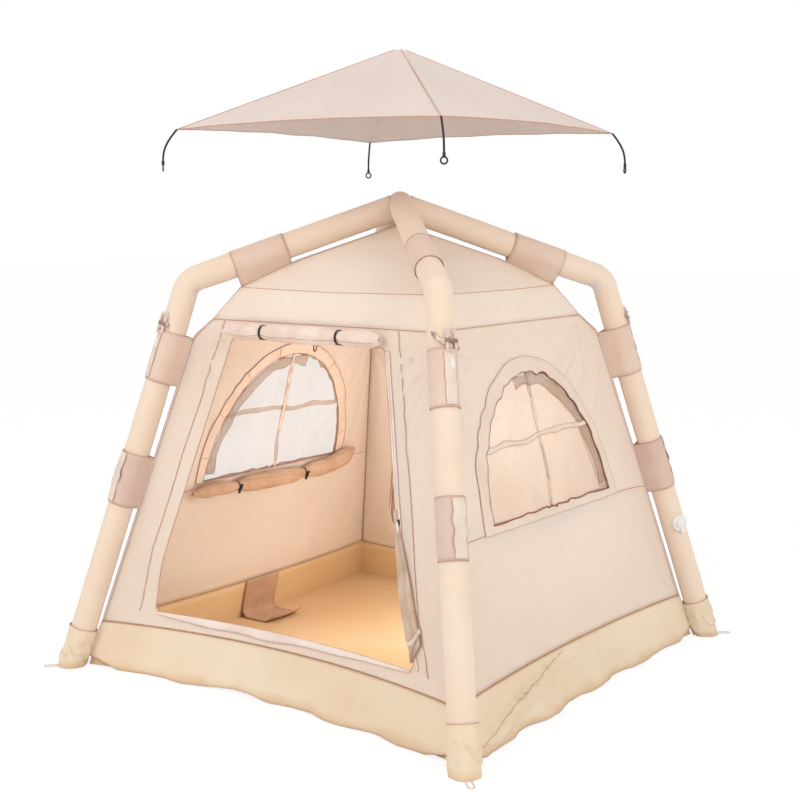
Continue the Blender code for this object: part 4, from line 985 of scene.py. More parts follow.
def stake_loop_rows(start, outward, across):
    line = stake_loop_line()
    rows = []
    for k, (x, y) in enumerate(line):
        run = (Vector(line[min(k + 1, len(line) - 1)]) - Vector(line[max(k - 1, 0)])).normalized()
        side = Vector((-run.y, run.x)) * (LOOP_WEB / 2)
        lift = LOOP_THICK / 2 + 0.0006 * math.sin(k * 0.9)
        rows.append([start + outward * (x + side.x * w) + across * (y + side.y * w) + UP * lift
                     for w in (-1, 0, 1)])
    return rows


for number, corner in enumerate(CORNERS):
    rows = cuff_rows(corner, number * 2.7)
    base = [(0, 1 + (s + 1) % CUFF_SIDES, 1 + s) for s in range(CUFF_SIDES)]
    faces = base + skin_faces(CUFF_ROWS, CUFF_SIDES, round_columns=True, start=1)
    cuff = mesh_piece(f"foot_cup_{corner}", [[leg_point(corner, CUFF_SOLE)], *rows], faces, ground_cloth)
    thicken(cuff, 0.0016)
    hem = tubes_piece(f"foot_cup_hem_{corner}", [rows[-1]], 0.0010, 6, seam_thread, closed=True)
    note_stitches(rows[-1], rows[-2], 0.5, off_centre(leg_point(corner, CUFF_HEIGHT), 0.0010))
    for piece in (cuff, hem):
        assign(piece)
    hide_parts(f"foot_cuff_{corner}")
    outward = outward_of(corner)
    start = leg_point(corner, 0) + outward * (cuff_bore() + CUFF_CLOTH / 2 - LOOP_TUCK)
    loop = stake_loop_rows(start, outward, across_of(corner))
    cloth_piece(f"stake_webbing_{corner}", loop, webbing, 0.0020)


# Valve
# A white moulded inflation valve on the right leg: a flange saddled on the sleeve, a turning cap with a grip,
# and a small plug on a tether. The zip's pull is moulded in the same white.
refinish(("valve_body", "valve_cap", "valve_plug", "zip_pull"), white_moulding)


# Walls
# Four panels of cotton-like cloth sewn to each other at the corners and hung from the bands by them.
# The front bows inwards at its foot, and the cloth is slack enough to show soft pulls from its corners.
TUB_HEIGHT = 0.20
BOW_FADE_HEIGHT = 0.55
SIDE_BOW = 0.055
BOWS = {"front": 0.14, "right": SIDE_BOW, "back": 0.05, "left": SIDE_BOW}
WALL_CLOTH = 0.004
MID = -WALL_CLOTH / 2
LEAN = math.atan((BASE_HALF - EAVE_HALF) / EAVE_HEIGHT)
DOOR_LOW, DOOR_HIGH = 0.265, 1.462
DOOR_LEFT, DOOR_RIGHT = (-0.70, -0.45), (0.70, 0.36)
DOOR_CORNER = 0.03
BACK_DOOR_LOW, BACK_DOOR_HIGH = 0.25, 1.40
BACK_DOOR_LOW_HALF, BACK_DOOR_HIGH_HALF = 0.74, 0.42
BACK_DOOR_CORNER = 0.14
WINDOW_SILL = 0.77
WINDOW_HALF = 0.485
WINDOW_RISE = 0.565
WINDOW_MIDDLES = {"right": 0.022, "left": -0.022}
WINDOW_CENTRE = 0.95
ARC_STEPS = 8
ARCH_STEPS = 48
ZIP_STRIP = 0.036
EDGE_EASE = 0.05
LEAST_TURN = 0.0008
FACING_RIPPLE = 0.05
WALL_CUT = (1.96, 1.42)
SEAM_ALLOWANCE = 0.010
SIDES = {
    "front": (Vector((0, -1, 0)), Vector((1, 0, 0))),
    "right": (Vector((1, 0, 0)), Vector((0, 1, 0))),
    "back": (Vector((0, 1, 0)), Vector((-1, 0, 0))),
    "left": (Vector((-1, 0, 0)), Vector((0, -1, 0))),
}

wall_cloth = cloth_finish("wall_cloth", (0.94, 0.873, 0.815), (0.91, 0.82, 0.745), 0.6, 1.4, 0.05, 0.7, 3.0,
                          0.010, glow=0.12)


def along_profile(height):
    """Half the body's width at a height."""
    for (low_half, low), (high_half, high) in zip(RIB_PROFILE, RIB_PROFILE[1:]):
        if height <= high:
            return low_half + (high_half - low_half) * (height - low) / (high - low)
    return 0


def wall_point(side, share, height, inset=0):
    """A point of a wall: share runs from -1 at its left seam to 1 at its right one, seen from outside."""
    outward, along = SIDES[side]
    corner = along_profile(height) - inset
    middle = BASE_HALF + (EAVE_HALF - BASE_HALF) * height / EAVE_HEIGHT - inset
    depth = middle + (corner - middle) * abs(share) ** 16
    climb = limited((height - TUB_HEIGHT) / (BOW_FADE_HEIGHT - TUB_HEIGHT))
    depth -= BOWS[side] * (1 - share * share) * (1 + math.cos(math.pi * climb)) / 2
    return along * (share * (corner - CLEAR)) + outward * depth + UP * height


def surface_point(side, across, height, stand=0):
    """A point at a distance across a wall from its middle, standing off its outer face."""
    reach = stand / math.cos(LEAN)
    share = across / (along_profile(height) + reach - CLEAR)
    return wall_point(side, limited(share, -1, 1), height, -reach)


def wall_axes(side):
    """Directions along a wall, up it and straight off it."""
    outward, along = SIDES[side]
    climb = UP * math.cos(LEAN) - outward * math.sin(LEAN)
    return along, climb, along.cross(climb)


def door_edge(height, edge=DOOR_RIGHT):
    """How far an edge of the door is from the wall's middle."""
    low, high = edge
    return low + (high - low) * (height - DOOR_LOW) / (DOOR_HIGH - DOOR_LOW)


def rounded_outline(corners, radius):
    """A closed outline with arcs at its corners, as (across, height) pairs."""
    points = []
    spots = [Vector(corner) for corner in corners]
    for before, spot, after in zip(spots[-1:] + spots, spots, spots[1:] + spots):
        centre, start, end = corner_turn(before, spot, after, radius)
        sweep = math.atan2(start.x * end.y - start.y * end.x, start.dot(end))
        for turn in spaced(0, sweep, ARC_STEPS):
            c, n = math.cos(turn), math.sin(turn)
            points.append((centre.x + start.x * c - start.y * n, centre.y + start.x * n + start.y * c))
    return points


def window_spot(middle, margin, turn, sill=WINDOW_SILL):
    """A point of the window's arch, widened by a margin, as an (across, height) pair."""
    rise = WINDOW_SILL + WINDOW_RISE + margin - sill
    return middle + (WINDOW_HALF + margin) * math.cos(turn), sill + rise * math.sin(turn)


def window_outline(middle, margin=0.0, sill_margin=None):
    sill = WINDOW_SILL - (margin if sill_margin is None else sill_margin)
    return [window_spot(middle, margin, turn, sill) for turn in spaced(0, math.pi, ARCH_STEPS)]


def door_outline():
    return rounded_outline([(DOOR_LEFT[0], DOOR_LOW), (DOOR_RIGHT[0], DOOR_LOW), (DOOR_RIGHT[1], DOOR_HIGH),
                            (DOOR_LEFT[1], DOOR_HIGH)], DOOR_CORNER)


def back_door_outline(margin=0):
    low, high = BACK_DOOR_LOW - margin, BACK_DOOR_HIGH + margin
    low_half, high_half = BACK_DOOR_LOW_HALF + margin, BACK_DOOR_HIGH_HALF + margin
    return rounded_outline([(-low_half, low), (low_half, low), (high_half, high), (-high_half, high)],
                           BACK_DOOR_CORNER)


def wall_outline():
    low, high = TUB_HEIGHT + CLEAR, EAVE_HEIGHT - CLEAR
    right = [(along_profile(h) - CLEAR, h) for h in (low, ELBOW_HEIGHT, high)]
    return right + [(-x, h) for x, h in right[::-1]]


def outline_reach(outline, centre, turn):
    """Distance from a centre to an outline round it, in one direction."""
    c, n = math.cos(turn), math.sin(turn)
    found = []
    for (x1, z1), (x2, z2) in zip(outline, outline[1:] + outline[:1]):
        cross = c * (z2 - z1) - n * (x2 - x1)
        if abs(cross) < 1e-12:
            continue
        ox, oz = x1 - centre.x, z1 - centre.y
        distance = (ox * (z2 - z1) - oz * (x2 - x1)) / cross
        if -1e-4 <= (ox * n - oz * c) / cross <= 1 + 1e-4 and distance > 0:
            found.append(distance)
    return min(found)


def ring_turns(outlines, centre, count):
    """Directions from a centre: even ones, and those of every corner of the outlines."""
    turns = turns_round(count)
    for outline in outlines:
        turns += [math.atan2(z - centre.y, x - centre.x) % (2 * math.pi) for x, z in outline]
    kept = []
    for turn in sorted(turns):
        if not kept or turn - kept[-1] > LEAST_TURN:
            kept.append(turn)
    return kept


def fan_folds(across, height, seed):
    """Folds that fan out from a wall's four corners."""
    total = 0.0
    for way in (-1, 1):
        for corner_x, corner_z, reach in ((ELBOW_HALF, ELBOW_HEIGHT + 0.03, 0.42), (0.96, 0.18, 0.28)):
            x, z = corner_x - across * way, height - corner_z
            far, turn = math.hypot(x, z), math.atan2(z, x)
            ridge = math.sin(turn * 12 + 5 * noise_at(turn * 1.7, far * 1.3, seed + way))
            total += math.exp(-far / reach) * min(far * 9, 1) * (1 - 2 * abs(ridge) ** 0.6)
    return total


def soft_pull(side, across, height, seed):
    """How far slack cloth stands off its flat: broad hollows, pulls and corner folds, none at the seams."""
    edge = 1 - abs(across) / along_profile(height)
    broad = noise_at(across * 2.3 + seed, height * 1.7, seed * 3)
    pull = noise_at(across * 9 + height * 3.5 + seed, height * 2.2 - across * 2.0, seed)
    pull = math.copysign(abs(pull) ** 1.5, pull)
    rim = min(edge * 9, 1) * min((EAVE_HEIGHT - height) * 12, 1) * min((height - TUB_HEIGHT) * 10 + 0.1, 1)
    if side == "front":
        rim *= limited((abs(across - door_edge(height)) - ZIP_STRIP) * 25)
    return (0.0060 * broad + 0.0120 * pull + 0.0110 * fan_folds(across, height, seed)) * max(rim, 0)


def ring_sheet(name, side, inner, outer, centre, rings, count, stand, finish, replaced, seed,
               relief=None, wander=0.0, thickness=CLOTH_THICK):
    """A sheet of wall cloth between two outlines on a wall, or from a centre where there is no inner one."""
    centre = Vector(centre)
    turns = ring_turns([o for o in (inner, outer) if o], centre, count)
    rows = []
    for share in spaced(0, 1, rings):
        row = []
        for turn in turns:
            near = outline_reach(inner, centre, turn) if inner else 0.02
            far = outline_reach(outer, centre, turn)
            near += wander * noise_at(math.cos(turn) * 7, math.sin(turn) * 7, seed)
            reach = near + (far - near) * share
            x, z = centre.x + math.cos(turn) * reach, centre.y + math.sin(turn) * reach
            still = FACING_RIPPLE if relief else min((reach - near if inner else far - reach) / EDGE_EASE, 1)
            off = soft_pull(side, x, z, seed) * still
            if relief:
                off += relief(side, share, turn, x, z)
            row.append(surface_point(side, x, z, stand + off))
        rows.append(row)
    columns = len(turns)
    faces = skin_faces(len(rows), columns, round_columns=True)
    points = rows
    if not inner:
        points = rows + [[surface_point(side, centre.x, centre.y, stand)]]
        faces += [(len(rows) * columns, (c + 1) % columns, c) for c in range(columns)]
    piece = mesh_piece(name, points, faces, finish)
    thicken(piece, thickness)
    assign(piece, replaced)
    return piece, rows


def flat_area(rows, closed):
    """Area of a net of rows."""
    total = 0.0
    for a, b in zip(rows, rows[1:]):
        for c in range(len(a) if closed else len(a) - 1):
            n = (c + 1) % len(a)
            total += (a[n] - a[c]).cross(b[c] - a[c]).length / 2 + (a[n] - b[n]).cross(b[c] - b[n]).length / 2
    return total


def lay_sheet(rows, flat, closed=True):
    """The area of a sheet's cut: that of its net of rows, with a seam allowance at its edges. It is worked
    out and left unused.
    """
    edges = sum(path_length(row + row[:1] if closed else row) for row in (rows[0], rows[-1]))
    area = flat_area(rows, closed)
    area = min(area + SEAM_ALLOWANCE * edges, area * 1.2, flat[0] * flat[1])


def bound(name, paths, radius=SEAM_RADIUS, closed=True, finish=seam_thread):
    """Brown binding or a felled seam along paths."""
    piece = tubes_piece(name, paths, radius, 6, finish, closed)
    assign(piece)
    return piece


WALL_SHEETS = {
    "front": (door_outline(), (-0.04, 0.85), 14, 1.7),
    "right": (window_outline(WINDOW_MIDDLES["right"]), (WINDOW_MIDDLES["right"], WINDOW_CENTRE), 26, 4.2),
    "left": (window_outline(WINDOW_MIDDLES["left"]), (WINDOW_MIDDLES["left"], WINDOW_CENTRE), 26, 9.4),
    "back": (back_door_outline(), (0, 0.85), 14, 6.6),
}
for side, (hole, centre, rings, seed) in WALL_SHEETS.items():
    piece, rows = ring_sheet(f"{side}_wall_cloth", side, hole, wall_outline(), centre, rings, 220, MID,
                             wall_cloth, f"{side}_wall", seed=seed)
    edge = bound(f"{side}_wall_binding", [rows[0]], 0.0016)
    if side in ("front", "back"):
        note_stitches(rows[0], rows[1], 0.22 if side == "front" else 0.5, wall_axes(side)[2] * 0.0011)
    lay_sheet(rows, WALL_CUT)


# Windows
# Sheer mesh with two cross bars of cloth, a wide facing sewn round it outside with a puckered inner edge,
# and a curtain inside that is rolled down to the sill and held by two toggles.
FACING_WIDTH = 0.060
FACING_CLOTH = 0.002
SILL_TRIM = 0.03
INNER_WIDTH = 0.052
INNER_JOINS = (0.20, 0.55, 0.95, 1.35, 1.75, 2.2, 2.6, 2.95)
PANE_CLOTH = 0.0006
FOLD_INSET = 0.034
FOLD_WIDTH = 0.046
BAR_WIDTH = 0.020
BAR_HEIGHT = 1.067
CURTAIN_RADIUS = 0.042
CURTAIN_HEIGHT = 0.735
CURTAIN_HALF = 0.585
CURTAIN_STEPS = 60
CURTAIN_TIES = (4 / 12, 9 / 12)
TIE_WIDTH = 1 / 12
ROLL_SIDES = 52
ROLL_STEP = 0.007
BAND_PIECES = 40
TOGGLE_PROFILE = [(-0.024, 0.0030), (-0.022, 0.0052), (-0.006, 0.0062), (0.006, 0.0062), (0.022, 0.0052),
                  (0.024, 0.0030)]

facing_look = (7.0, 0.06, 1.0, 16.0, 0.005)
facing_cloth = cloth_finish("facing_cloth", (0.93, 0.86, 0.80), (0.88, 0.785, 0.71), 0.5, *facing_look)
inner_cloth = cloth_finish("inner_facing_cloth", (0.94, 0.87, 0.80), (0.90, 0.80, 0.72), 0.6, *facing_look)
sheer_mesh = cloth_finish("sheer_mesh", (0.93, 0.90, 0.87), (0.86, 0.80, 0.75), 0.6, 4.0, 0.30, 0.8, 6.0,
                          0.004, see_through=(0.12, 0.17))
folded_mesh = cloth_finish("folded_mesh", (0.87, 0.76, 0.66), (0.79, 0.66, 0.55), 0.6, 6.0, 0.30, 0.8, 12.0,
                           0.004, see_through=(0.30, 0.22))
curtain_cloth = cloth_finish("curtain_cloth", (0.83, 0.70, 0.585), (0.74, 0.58, 0.45), 0.7, 8.0, 0.06, 1.0,
                             14.0, 0.005)
black_toggle = moulded_finish("black_toggle", (0.07, 0.065, 0.065), 0.45)
piping = thread_finish("dark_piping", (0.58, 0.36, 0.32), (0.45, 0.26, 0.23))


def wall_relief(side, across, height, gap=1.0):
    """How far a wall stands off its flat, at a distance from the edge of its opening."""
    return soft_pull(side, across, height, WALL_SHEETS[side][3]) * limited(gap / EDGE_EASE)


def on_wall(side, across, height, stand, gap=1.0):
    """A point that stands off the slack wall, not off its flat."""
    return surface_point(side, across, height, stand + wall_relief(side, across, height, gap))


def beside_hole(side, share, turn, x, z):
    """How far the wall beside a window stands off its flat."""
    middle = WINDOW_MIDDLES[side]
    hole = outline_reach(window_outline(middle), Vector((middle, WINDOW_CENTRE)), turn)
    return wall_relief(side, x, z, math.hypot(x - middle, z - WINDOW_CENTRE) - hole)


def pucker(side, share, turn, x, z):
    """Small gathers at the facing's inner edge, more where it is curved."""
    gather = math.sin(52 * turn + 4 * math.sin(3 * turn)) * noise_at(turn * 3, share * 2, 1.0)
    gather *= 0.0045 * (1 - share) ** 1.5 * (1 if z > WINDOW_SILL + 0.03 else 0.4)
    return gather + beside_hole(side, share, turn, x, z)


def window_facing(side, middle):
    """The outer facing, piped at its inner edge, more heavily along the sill and up its right side."""
    along, _, normal = wall_axes(side)
    inner, outer = window_outline(middle, -0.006), window_outline(middle, FACING_WIDTH, SILL_TRIM)
    facing, rows = ring_sheet(f"{side}_facing_cloth", side, inner, outer, (middle, WINDOW_CENTRE), 9, 300,
                              FACING_CLOTH, facing_cloth, f"{side}_window_facing", seed=2.0,
                              relief=pucker, wander=0.016)
    trim = bound(f"{side}_facing_piping", [rows[0]], 0.0020, finish=piping)
    sewn = bound(f"{side}_facing_seam", [rows[-1]], 0.0008)
    note_stitches(rows[-1], rows[-2], 0.6, normal * 0.0009)
    note_stitches(rows[0], rows[1], 1.0, normal * 0.0009)
    run = sorted((p for p in rows[0] if p.dot(along) > middle + 0.10 and p.z > 0.80), key=lambda p: p.z)
    sill = sorted((p for p in rows[0] if p.z < WINDOW_SILL + 0.012), key=lambda p: p.dot(along))
    heavy = [[p + normal * 0.0008 for p in line] for line in (run, sill)]
    cord = bound(f"{side}_facing_piping_heavy", heavy, 0.0034, closed=False, finish=piping)
    lay_sheet(rows, (2.95, FACING_WIDTH + 2.5 * SEAM_ALLOWANCE))


def inner_facing(side, middle):
    """The facing inside, joined from short lengths."""
    normal = wall_axes(side)[2]
    inner, outer = window_outline(middle, -0.002), window_outline(middle, INNER_WIDTH, 0.001)
    inside, rows = ring_sheet(f"{side}_inner_facing", side, inner, outer, (middle, WINDOW_CENTRE), 6, 200,
                              -WALL_CLOTH - 0.0014, inner_cloth, None, seed=8.0,
                              relief=beside_hole, wander=0.006)
    lines = [[p - normal * 0.0006 for p in row] for row in (rows[0], rows[-1])]
    rim = bound(f"{side}_inner_facing_seams", lines, 0.0014)
    spokes = []
    for turn in INNER_JOINS:
        margins = (0.0, INNER_WIDTH)
        spots = [window_spot(middle, margin, turn) for margin in margins]
        spokes.append([on_wall(side, x, z, -WALL_CLOTH - 0.0026, gap) for (x, z), gap in zip(spots, margins)])
    joins = bound(f"{side}_inner_facing_joins", spokes, 0.0011, closed=False)
    lay_sheet(rows, (2.90, INNER_WIDTH + 2.5 * SEAM_ALLOWANCE))


def strip_on_wall(name, side, line, width, stand, finish, wave, seed):
    """A strip of cloth along (across, height) points of a wall, with a wandering edge."""
    rows = []
    for k, (x, z) in enumerate(line):
        run = (Vector(line[min(k + 1, len(line) - 1)]) - Vector(line[max(k - 1, 0)])).normalized()
        drift = wave * noise_at(x * 6, z * 6, seed)
        half = width / 2 * (1 + 0.55 * noise_at(x * 14, z * 14, seed + 2))
        row = []
        for w in (-1, -0.4, 0.4, 1):
            off = stand + 0.0012 * noise_at(x * 20, z * 20, w + seed)
            aside = w * half + drift
            row.append(surface_point(side, x - run.y * aside, z + run.x * aside, off))
        rows.append(row)
    piece = cloth_piece(name, rows, finish, STRIP_CLOTH)
    bound(f"{name}_edges", long_edges(rows), 0.0011, closed=False)


def window_mesh(side, middle):
    """The mesh, a slack fold of it along the arch, and the two bars that cross it."""
    outline = window_outline(middle, -0.001)
    pane, rows = ring_sheet(f"{side}_window_pane", side, None, outline, (middle, 0.98), 16, 90, MID,
                            sheer_mesh, f"{side}_window_mesh", seed=5.5, thickness=PANE_CLOTH)
    lay_sheet(rows, (0.98, 0.58))
    slack = [window_spot(middle, -FOLD_INSET, turn) for turn in spaced(0.06, 1.81, 40)]
    strip_on_wall(f"{side}_mesh_fold", side, slack, FOLD_WIDTH, MID - 0.0022, folded_mesh, wave=0.012,
                  seed=6.0)
    bar_half = WINDOW_HALF * math.sqrt(1 - ((BAR_HEIGHT - WINDOW_SILL) / WINDOW_RISE) ** 2) + 0.012
    level = [(middle + bar_half * w, BAR_HEIGHT - 0.002 + 0.010 * w) for w in spaced(-1, 1, 60)]
    strip_on_wall(f"{side}_level_bar", side, level, BAR_WIDTH, MID + 0.0026, facing_cloth, wave=0.020,
                  seed=3.0)
    post = [(middle - 0.010 + 0.020 * math.sin(2.6 * share), WINDOW_SILL + WINDOW_RISE * share)
            for share in spaced(0, 1, 40)]
    strip_on_wall(f"{side}_post_bar", side, post, BAR_WIDTH, MID - 0.0042, inner_cloth, wave=0.016,
                  seed=8.0)


def roll_end(ring, middle, ahead, gathered):
    """Rings that draw the end of a roll in to a puckered middle."""
    rings = []
    for inner, tuck in ((0.80, 0.004), (gathered, 0.001), (gathered * 0.5, -0.006), (0.04, -0.009)):
        rings.append([middle + (p - middle) * inner + ahead * (tuck + 0.002 * math.sin(5 * turn))
                      for p, turn in zip(ring, turns_round(ROLL_SIDES))])
    return rings


def roll_piece(name, path, up, girth_at, finish, replaced, folds, seed, gathered=0.55, twist=0.0,
               depth=1.0):
    """A roll of cloth along a path: lengthwise folds, a free edge that shows as a step, and puckered ends."""
    path = evenly(path, ROLL_STEP)
    last = len(path) - 1
    rows = []
    for k, point in enumerate(path):
        ahead = (path[min(k + 1, last)] - path[max(k - 1, 0)]).normalized()
        side = ahead.cross(up).normalized()
        top = side.cross(ahead)
        share = k / last
        lip = 0.9 + 0.5 * noise_at(share * 3, seed, 0)
        row = []
        for turn in turns_round(ROLL_SIDES):
            wound = turn + twist * share
            x, y = math.cos(wound) * folds, math.sin(wound) * folds
            fold = noise_at(x, y, share * 4 + seed)
            crease = (1 - abs(noise_at(x * 2.4, y * 2.4, share * 9 + seed))) ** 6
            since = ((wound - lip) % (2 * math.pi)) / (2 * math.pi)
            swell = min(1 + depth * (0.07 * fold - 0.06 * crease) - 0.06 * since, 1)
            row.append(point + turned(side, turn, top) * (girth_at(share) * swell))
        rows.append(row)
    first = roll_end(rows[0], path[0], (path[0] - path[1]).normalized(), gathered)
    rows = first[::-1] + rows + roll_end(rows[-1], path[-1], (path[-1] - path[-2]).normalized(), gathered)
    piece = mesh_piece(name, rows, capped_faces(len(rows), ROLL_SIDES), finish, outward=True)
    assign(piece, replaced)
    return rows


def pinched(radius, ties, pinch, end_share):
    """Girth of a roll that its ties pinch and whose ends taper."""
    def girth(share):
        value = 1 - (1 - end_share) * max(abs(2 * share - 1) * 8 - 7, 0)
        for tie in ties:
            near = math.exp(-((share - tie) / (TIE_WIDTH * 0.6)) ** 2)
            value = min(value, 1 - (1 - pinch) * near)
        return radius * value
    return girth


def elastic_band(name, centre, heading, climb, radius, width, thick):
    """A flat elastic band round a roll."""
    first = (climb - heading * climb.dot(heading)).normalized()
    second = heading.cross(first).normalized()
    profile = [(-width / 2, 0), (-width / 2, thick), (0, thick * 1.25), (width / 2, thick), (width / 2, 0)]
    rows = [[p + heading * along for p in circle(centre, first, second, radius + stand, BAND_PIECES)]
            for along, stand in profile]
    piece = mesh_piece(name, rows, skin_faces(len(rows), BAND_PIECES, True, True), shock_cord, outward=True)
    assign(piece)
    return piece


def curtain(side, middle):
    """The rolled curtain, bunched up at one end and thinner at the other, with its elastics and toggles."""
    along, climb, normal = wall_axes(side)
    stand = -(WALL_CLOTH + CURTAIN_RADIUS + CLEAR)
    tied = pinched(CURTAIN_RADIUS, CURTAIN_TIES, pinch=0.60, end_share=0.30)
    run = []
    for share in spaced(0, 1, CURTAIN_STEPS):
        sag = -0.018 * math.sin(math.pi * min(share * 1.15, 1))
        bunch = 0.050 * max(1 - share / 0.16, 0) ** 1.6
        run.append(surface_point(side, middle + CURTAIN_HALF * (2 * share - 1), CURTAIN_HEIGHT + sag + bunch,
                                 stand - 0.004 * math.sin(9 * share)))

    def girth_at(share):
        return tied(share) * (1.0 - 0.28 * max(share - 0.55, 0) / 0.45)

    rows = roll_piece(f"{side}_curtain", run, climb, girth_at, curtain_cloth,
                      f"{side}_curtain_roll", folds=1.6, seed=3.0, twist=5.0, depth=1.7)
    hems = [[rows[k][(column - k // 9) % ROLL_SIDES] for k in range(6, len(rows) - 6)] for column in (8, 30)]
    bound(f"{side}_curtain_hems", hems, 0.0014, closed=False)
    lean = (climb * 0.9 - along * 0.30).normalized()
    for number, tie in enumerate(CURTAIN_TIES, start=1):
        k, girth = round(tie * CURTAIN_STEPS), girth_at(tie)
        heading = (run[k + 1] - run[k - 1]).normalized()
        elastic_band(f"{side}_curtain_elastic_{number}", run[k], heading, climb, girth * 0.97, width=0.007,
                     thick=0.0016)
        spot = run[k] - normal * (girth * 1.02 + 0.005) - climb * 0.004
        toggle = turned_piece(f"{side}_curtain_toggle_{number}", spot, lean, TOGGLE_PROFILE, 14, black_toggle)
        assign(toggle)


for side, middle in WINDOW_MIDDLES.items():
    window_facing(side, middle)
    inner_facing(side, middle)
    window_mesh(side, middle)
    curtain(side, middle)


# Back door
# A zipped panel of its own in the back wall, with a flat zip tape all round it.
ZIP_TAPE_EDGES = (0.016, -0.018)
panel, rows = ring_sheet("back_door_cloth", "back", None, back_door_outline(-0.002), (0, 0.82), 24, 150, MID,
                         wall_cloth, "back_door", seed=7.7)
lines = [[surface_point("back", x, z, stand) for x, z in back_door_outline(margin)]
         for margin in ZIP_TAPE_EDGES for stand in (0.0006, -WALL_CLOTH + 0.0006)]
bound("back_door_zip_seams", lines, 0.0015)
lay_sheet(rows, (1.50, 1.19))


# Tub floor
# A tray of coated cloth whose sides are sewn to the walls, with brown binding on both sides of the seam.
# Its floor lies on the ground, a little uneven.
SIDE_COLUMNS = 56
CROWDING = 1.25
TUB_LEVELS = (0.1995, 0.16, 0.12, 0.08, 0.045, 0.02)
FLOOR_LEVEL = 0.0025
FLOOR_SHARES = (0.96, 0.9, 0.82, 0.72, 0.62, 0.52, 0.42, 0.32, 0.22, 0.12, 0.04)
FLOOR_RISE = 0.0022
TUB_SEAM = 0.0011

tub_inside = cloth_finish("tub_cloth", (0.925, 0.81, 0.645), (0.88, 0.725, 0.52), 0.8, 1.5, 0.03, 0.8, 4.0,
                          0.007, roughness=0.6, sheen=0.05)


def side_shares(count):
    """Places along a side, from -1 at its left end to just short of 1."""
    return [-1 + 2 * k / count for k in range(count)]


def body_ring(height, inset, flare=None):
    """A level row of points round the body, closer together near its corners."""
    ring = []
    for side, (outward, along) in SIDES.items():
        for k, share in enumerate(side_shares(SIDE_COLUMNS)):
            share = math.copysign(1 - (1 - abs(share)) ** CROWDING, share)
            point = wall_point(side, share, height, inset)
            if k == 0:
                point = (outward - along) * (along_profile(height) - inset) + UP * height
            ring.append(point + (outward * flare(side, share) if flare else Vector()))
    return ring


def domed_piece(name, rows, middle, finish, thickness):
    """A sheet of closed rows whose last one is drawn in to a middle point."""
    columns = len(rows[0])
    last = (len(rows) - 1) * columns
    faces = skin_faces(len(rows), columns, round_columns=True)
    faces += [(last + c, last + (c + 1) % columns, last + columns) for c in range(columns)]
    piece = mesh_piece(name, [*rows, [middle]], faces, finish)
    thicken(piece, thickness)
    return piece


tub_rows = [body_ring(h, WALL_CLOTH / 2 + 0.0006 * math.sin(h * 60)) for h in TUB_LEVELS]
base_row = body_ring(FLOOR_LEVEL, WALL_CLOTH / 2)
tub_rows.append(base_row)
for share in FLOOR_SHARES:
    spots = [(p.x * share, p.y * share) for p in base_row]
    tub_rows.append([Vector((x, y, FLOOR_LEVEL + FLOOR_RISE * max(noise_at(x * 4, y * 4, 1), 0)))
                     for x, y in spots])
tub = domed_piece("tub_tray", tub_rows, UP * 0.0028, tub_inside, 0.0016)
assign(tub, "tub_floor")
tub_seam = bound("tub_seam", [body_ring(0.1990, -0.0006), body_ring(0.1985, WALL_CLOTH + 0.0006)], TUB_SEAM)
lay_sheet(tub_rows, (2.36, 2.36))


# Ground skirt
# A mud flap of groundsheet cloth that is sewn round at the tub's seam and lies in loose waves on the ground.
# A length of it on the right side is turned under, so that the turned edge slants down the flap.
SKIRT_TOP = 0.195
SKIRT_FOOT = 0.003
SKIRT_INSET = -0.0022
SKIRT_FLARE = 0.045
SKIRT_WAVE = 0.012
SKIRT_WAVES = 5
SKIRT_STEPS = 18
LEVEL_STEPS = 14
CORNER_LIFT = 0.038
CORNER_FROM = 0.84
FOLD_TOP, FOLD_FOOT = -0.02, -1.02
FOLD_STEP = 0.035
FOLD_SLACK = 0.35


def fold_line(down):
    """Share of the right side where the flap's turned part begins, at a share of the way down."""
    return FOLD_TOP + (FOLD_FOOT - FOLD_TOP) * down ** 0.8


def hem_flare(down, side, share):
    """How far the flap stands off the tub, at a share of the way down."""
    wave = SKIRT_WAVE * math.sin(math.pi * SKIRT_WAVES * share + BOWS[side] / SIDE_BOW)
    fine = 0.013 * noise_at(share * 6, BOWS[side] * 40, down * 1.5)
    gather = 0.009 * noise_at(share * 19 + down * 2, BOWS[side] * 60, 2)
    out = ((SKIRT_FLARE + wave) * down ** 1.5 + (fine + gather) * down) * (1 - share ** 4)
    if side == "right":
        past = share - fold_line(down)
        step = limited(past / FOLD_STEP)
        slack = math.exp(-max(past, 0) / FOLD_SLACK) * min(down * 3, 1)
        out += (0.034 * step - 0.010) * slack + 0.010 * step * slack * math.sin(past * 26 + down * 5)
    return max(out, 0)


def skirt_row(step):
    """A row of the flap, lifted at its corners and, near its hem, where the cloth is loose."""
    down = step / SKIRT_STEPS
    height = SKIRT_TOP + (SKIRT_FOOT - SKIRT_TOP) * down
    row = []
    for p in body_ring(height, SKIRT_INSET, lambda side, share: hem_flare(down, side, share)):
        near, far = sorted((abs(p.x), abs(p.y)))
        lift = CORNER_LIFT * down * max(near / far - CORNER_FROM, 0) / (1 - CORNER_FROM)
        lift += 0.0045 * max(step - LEVEL_STEPS, 0) * max(noise_at(p.x * 5, p.y * 5, 3) + 0.1, 0)
        row.append(p + UP * lift)
    return row


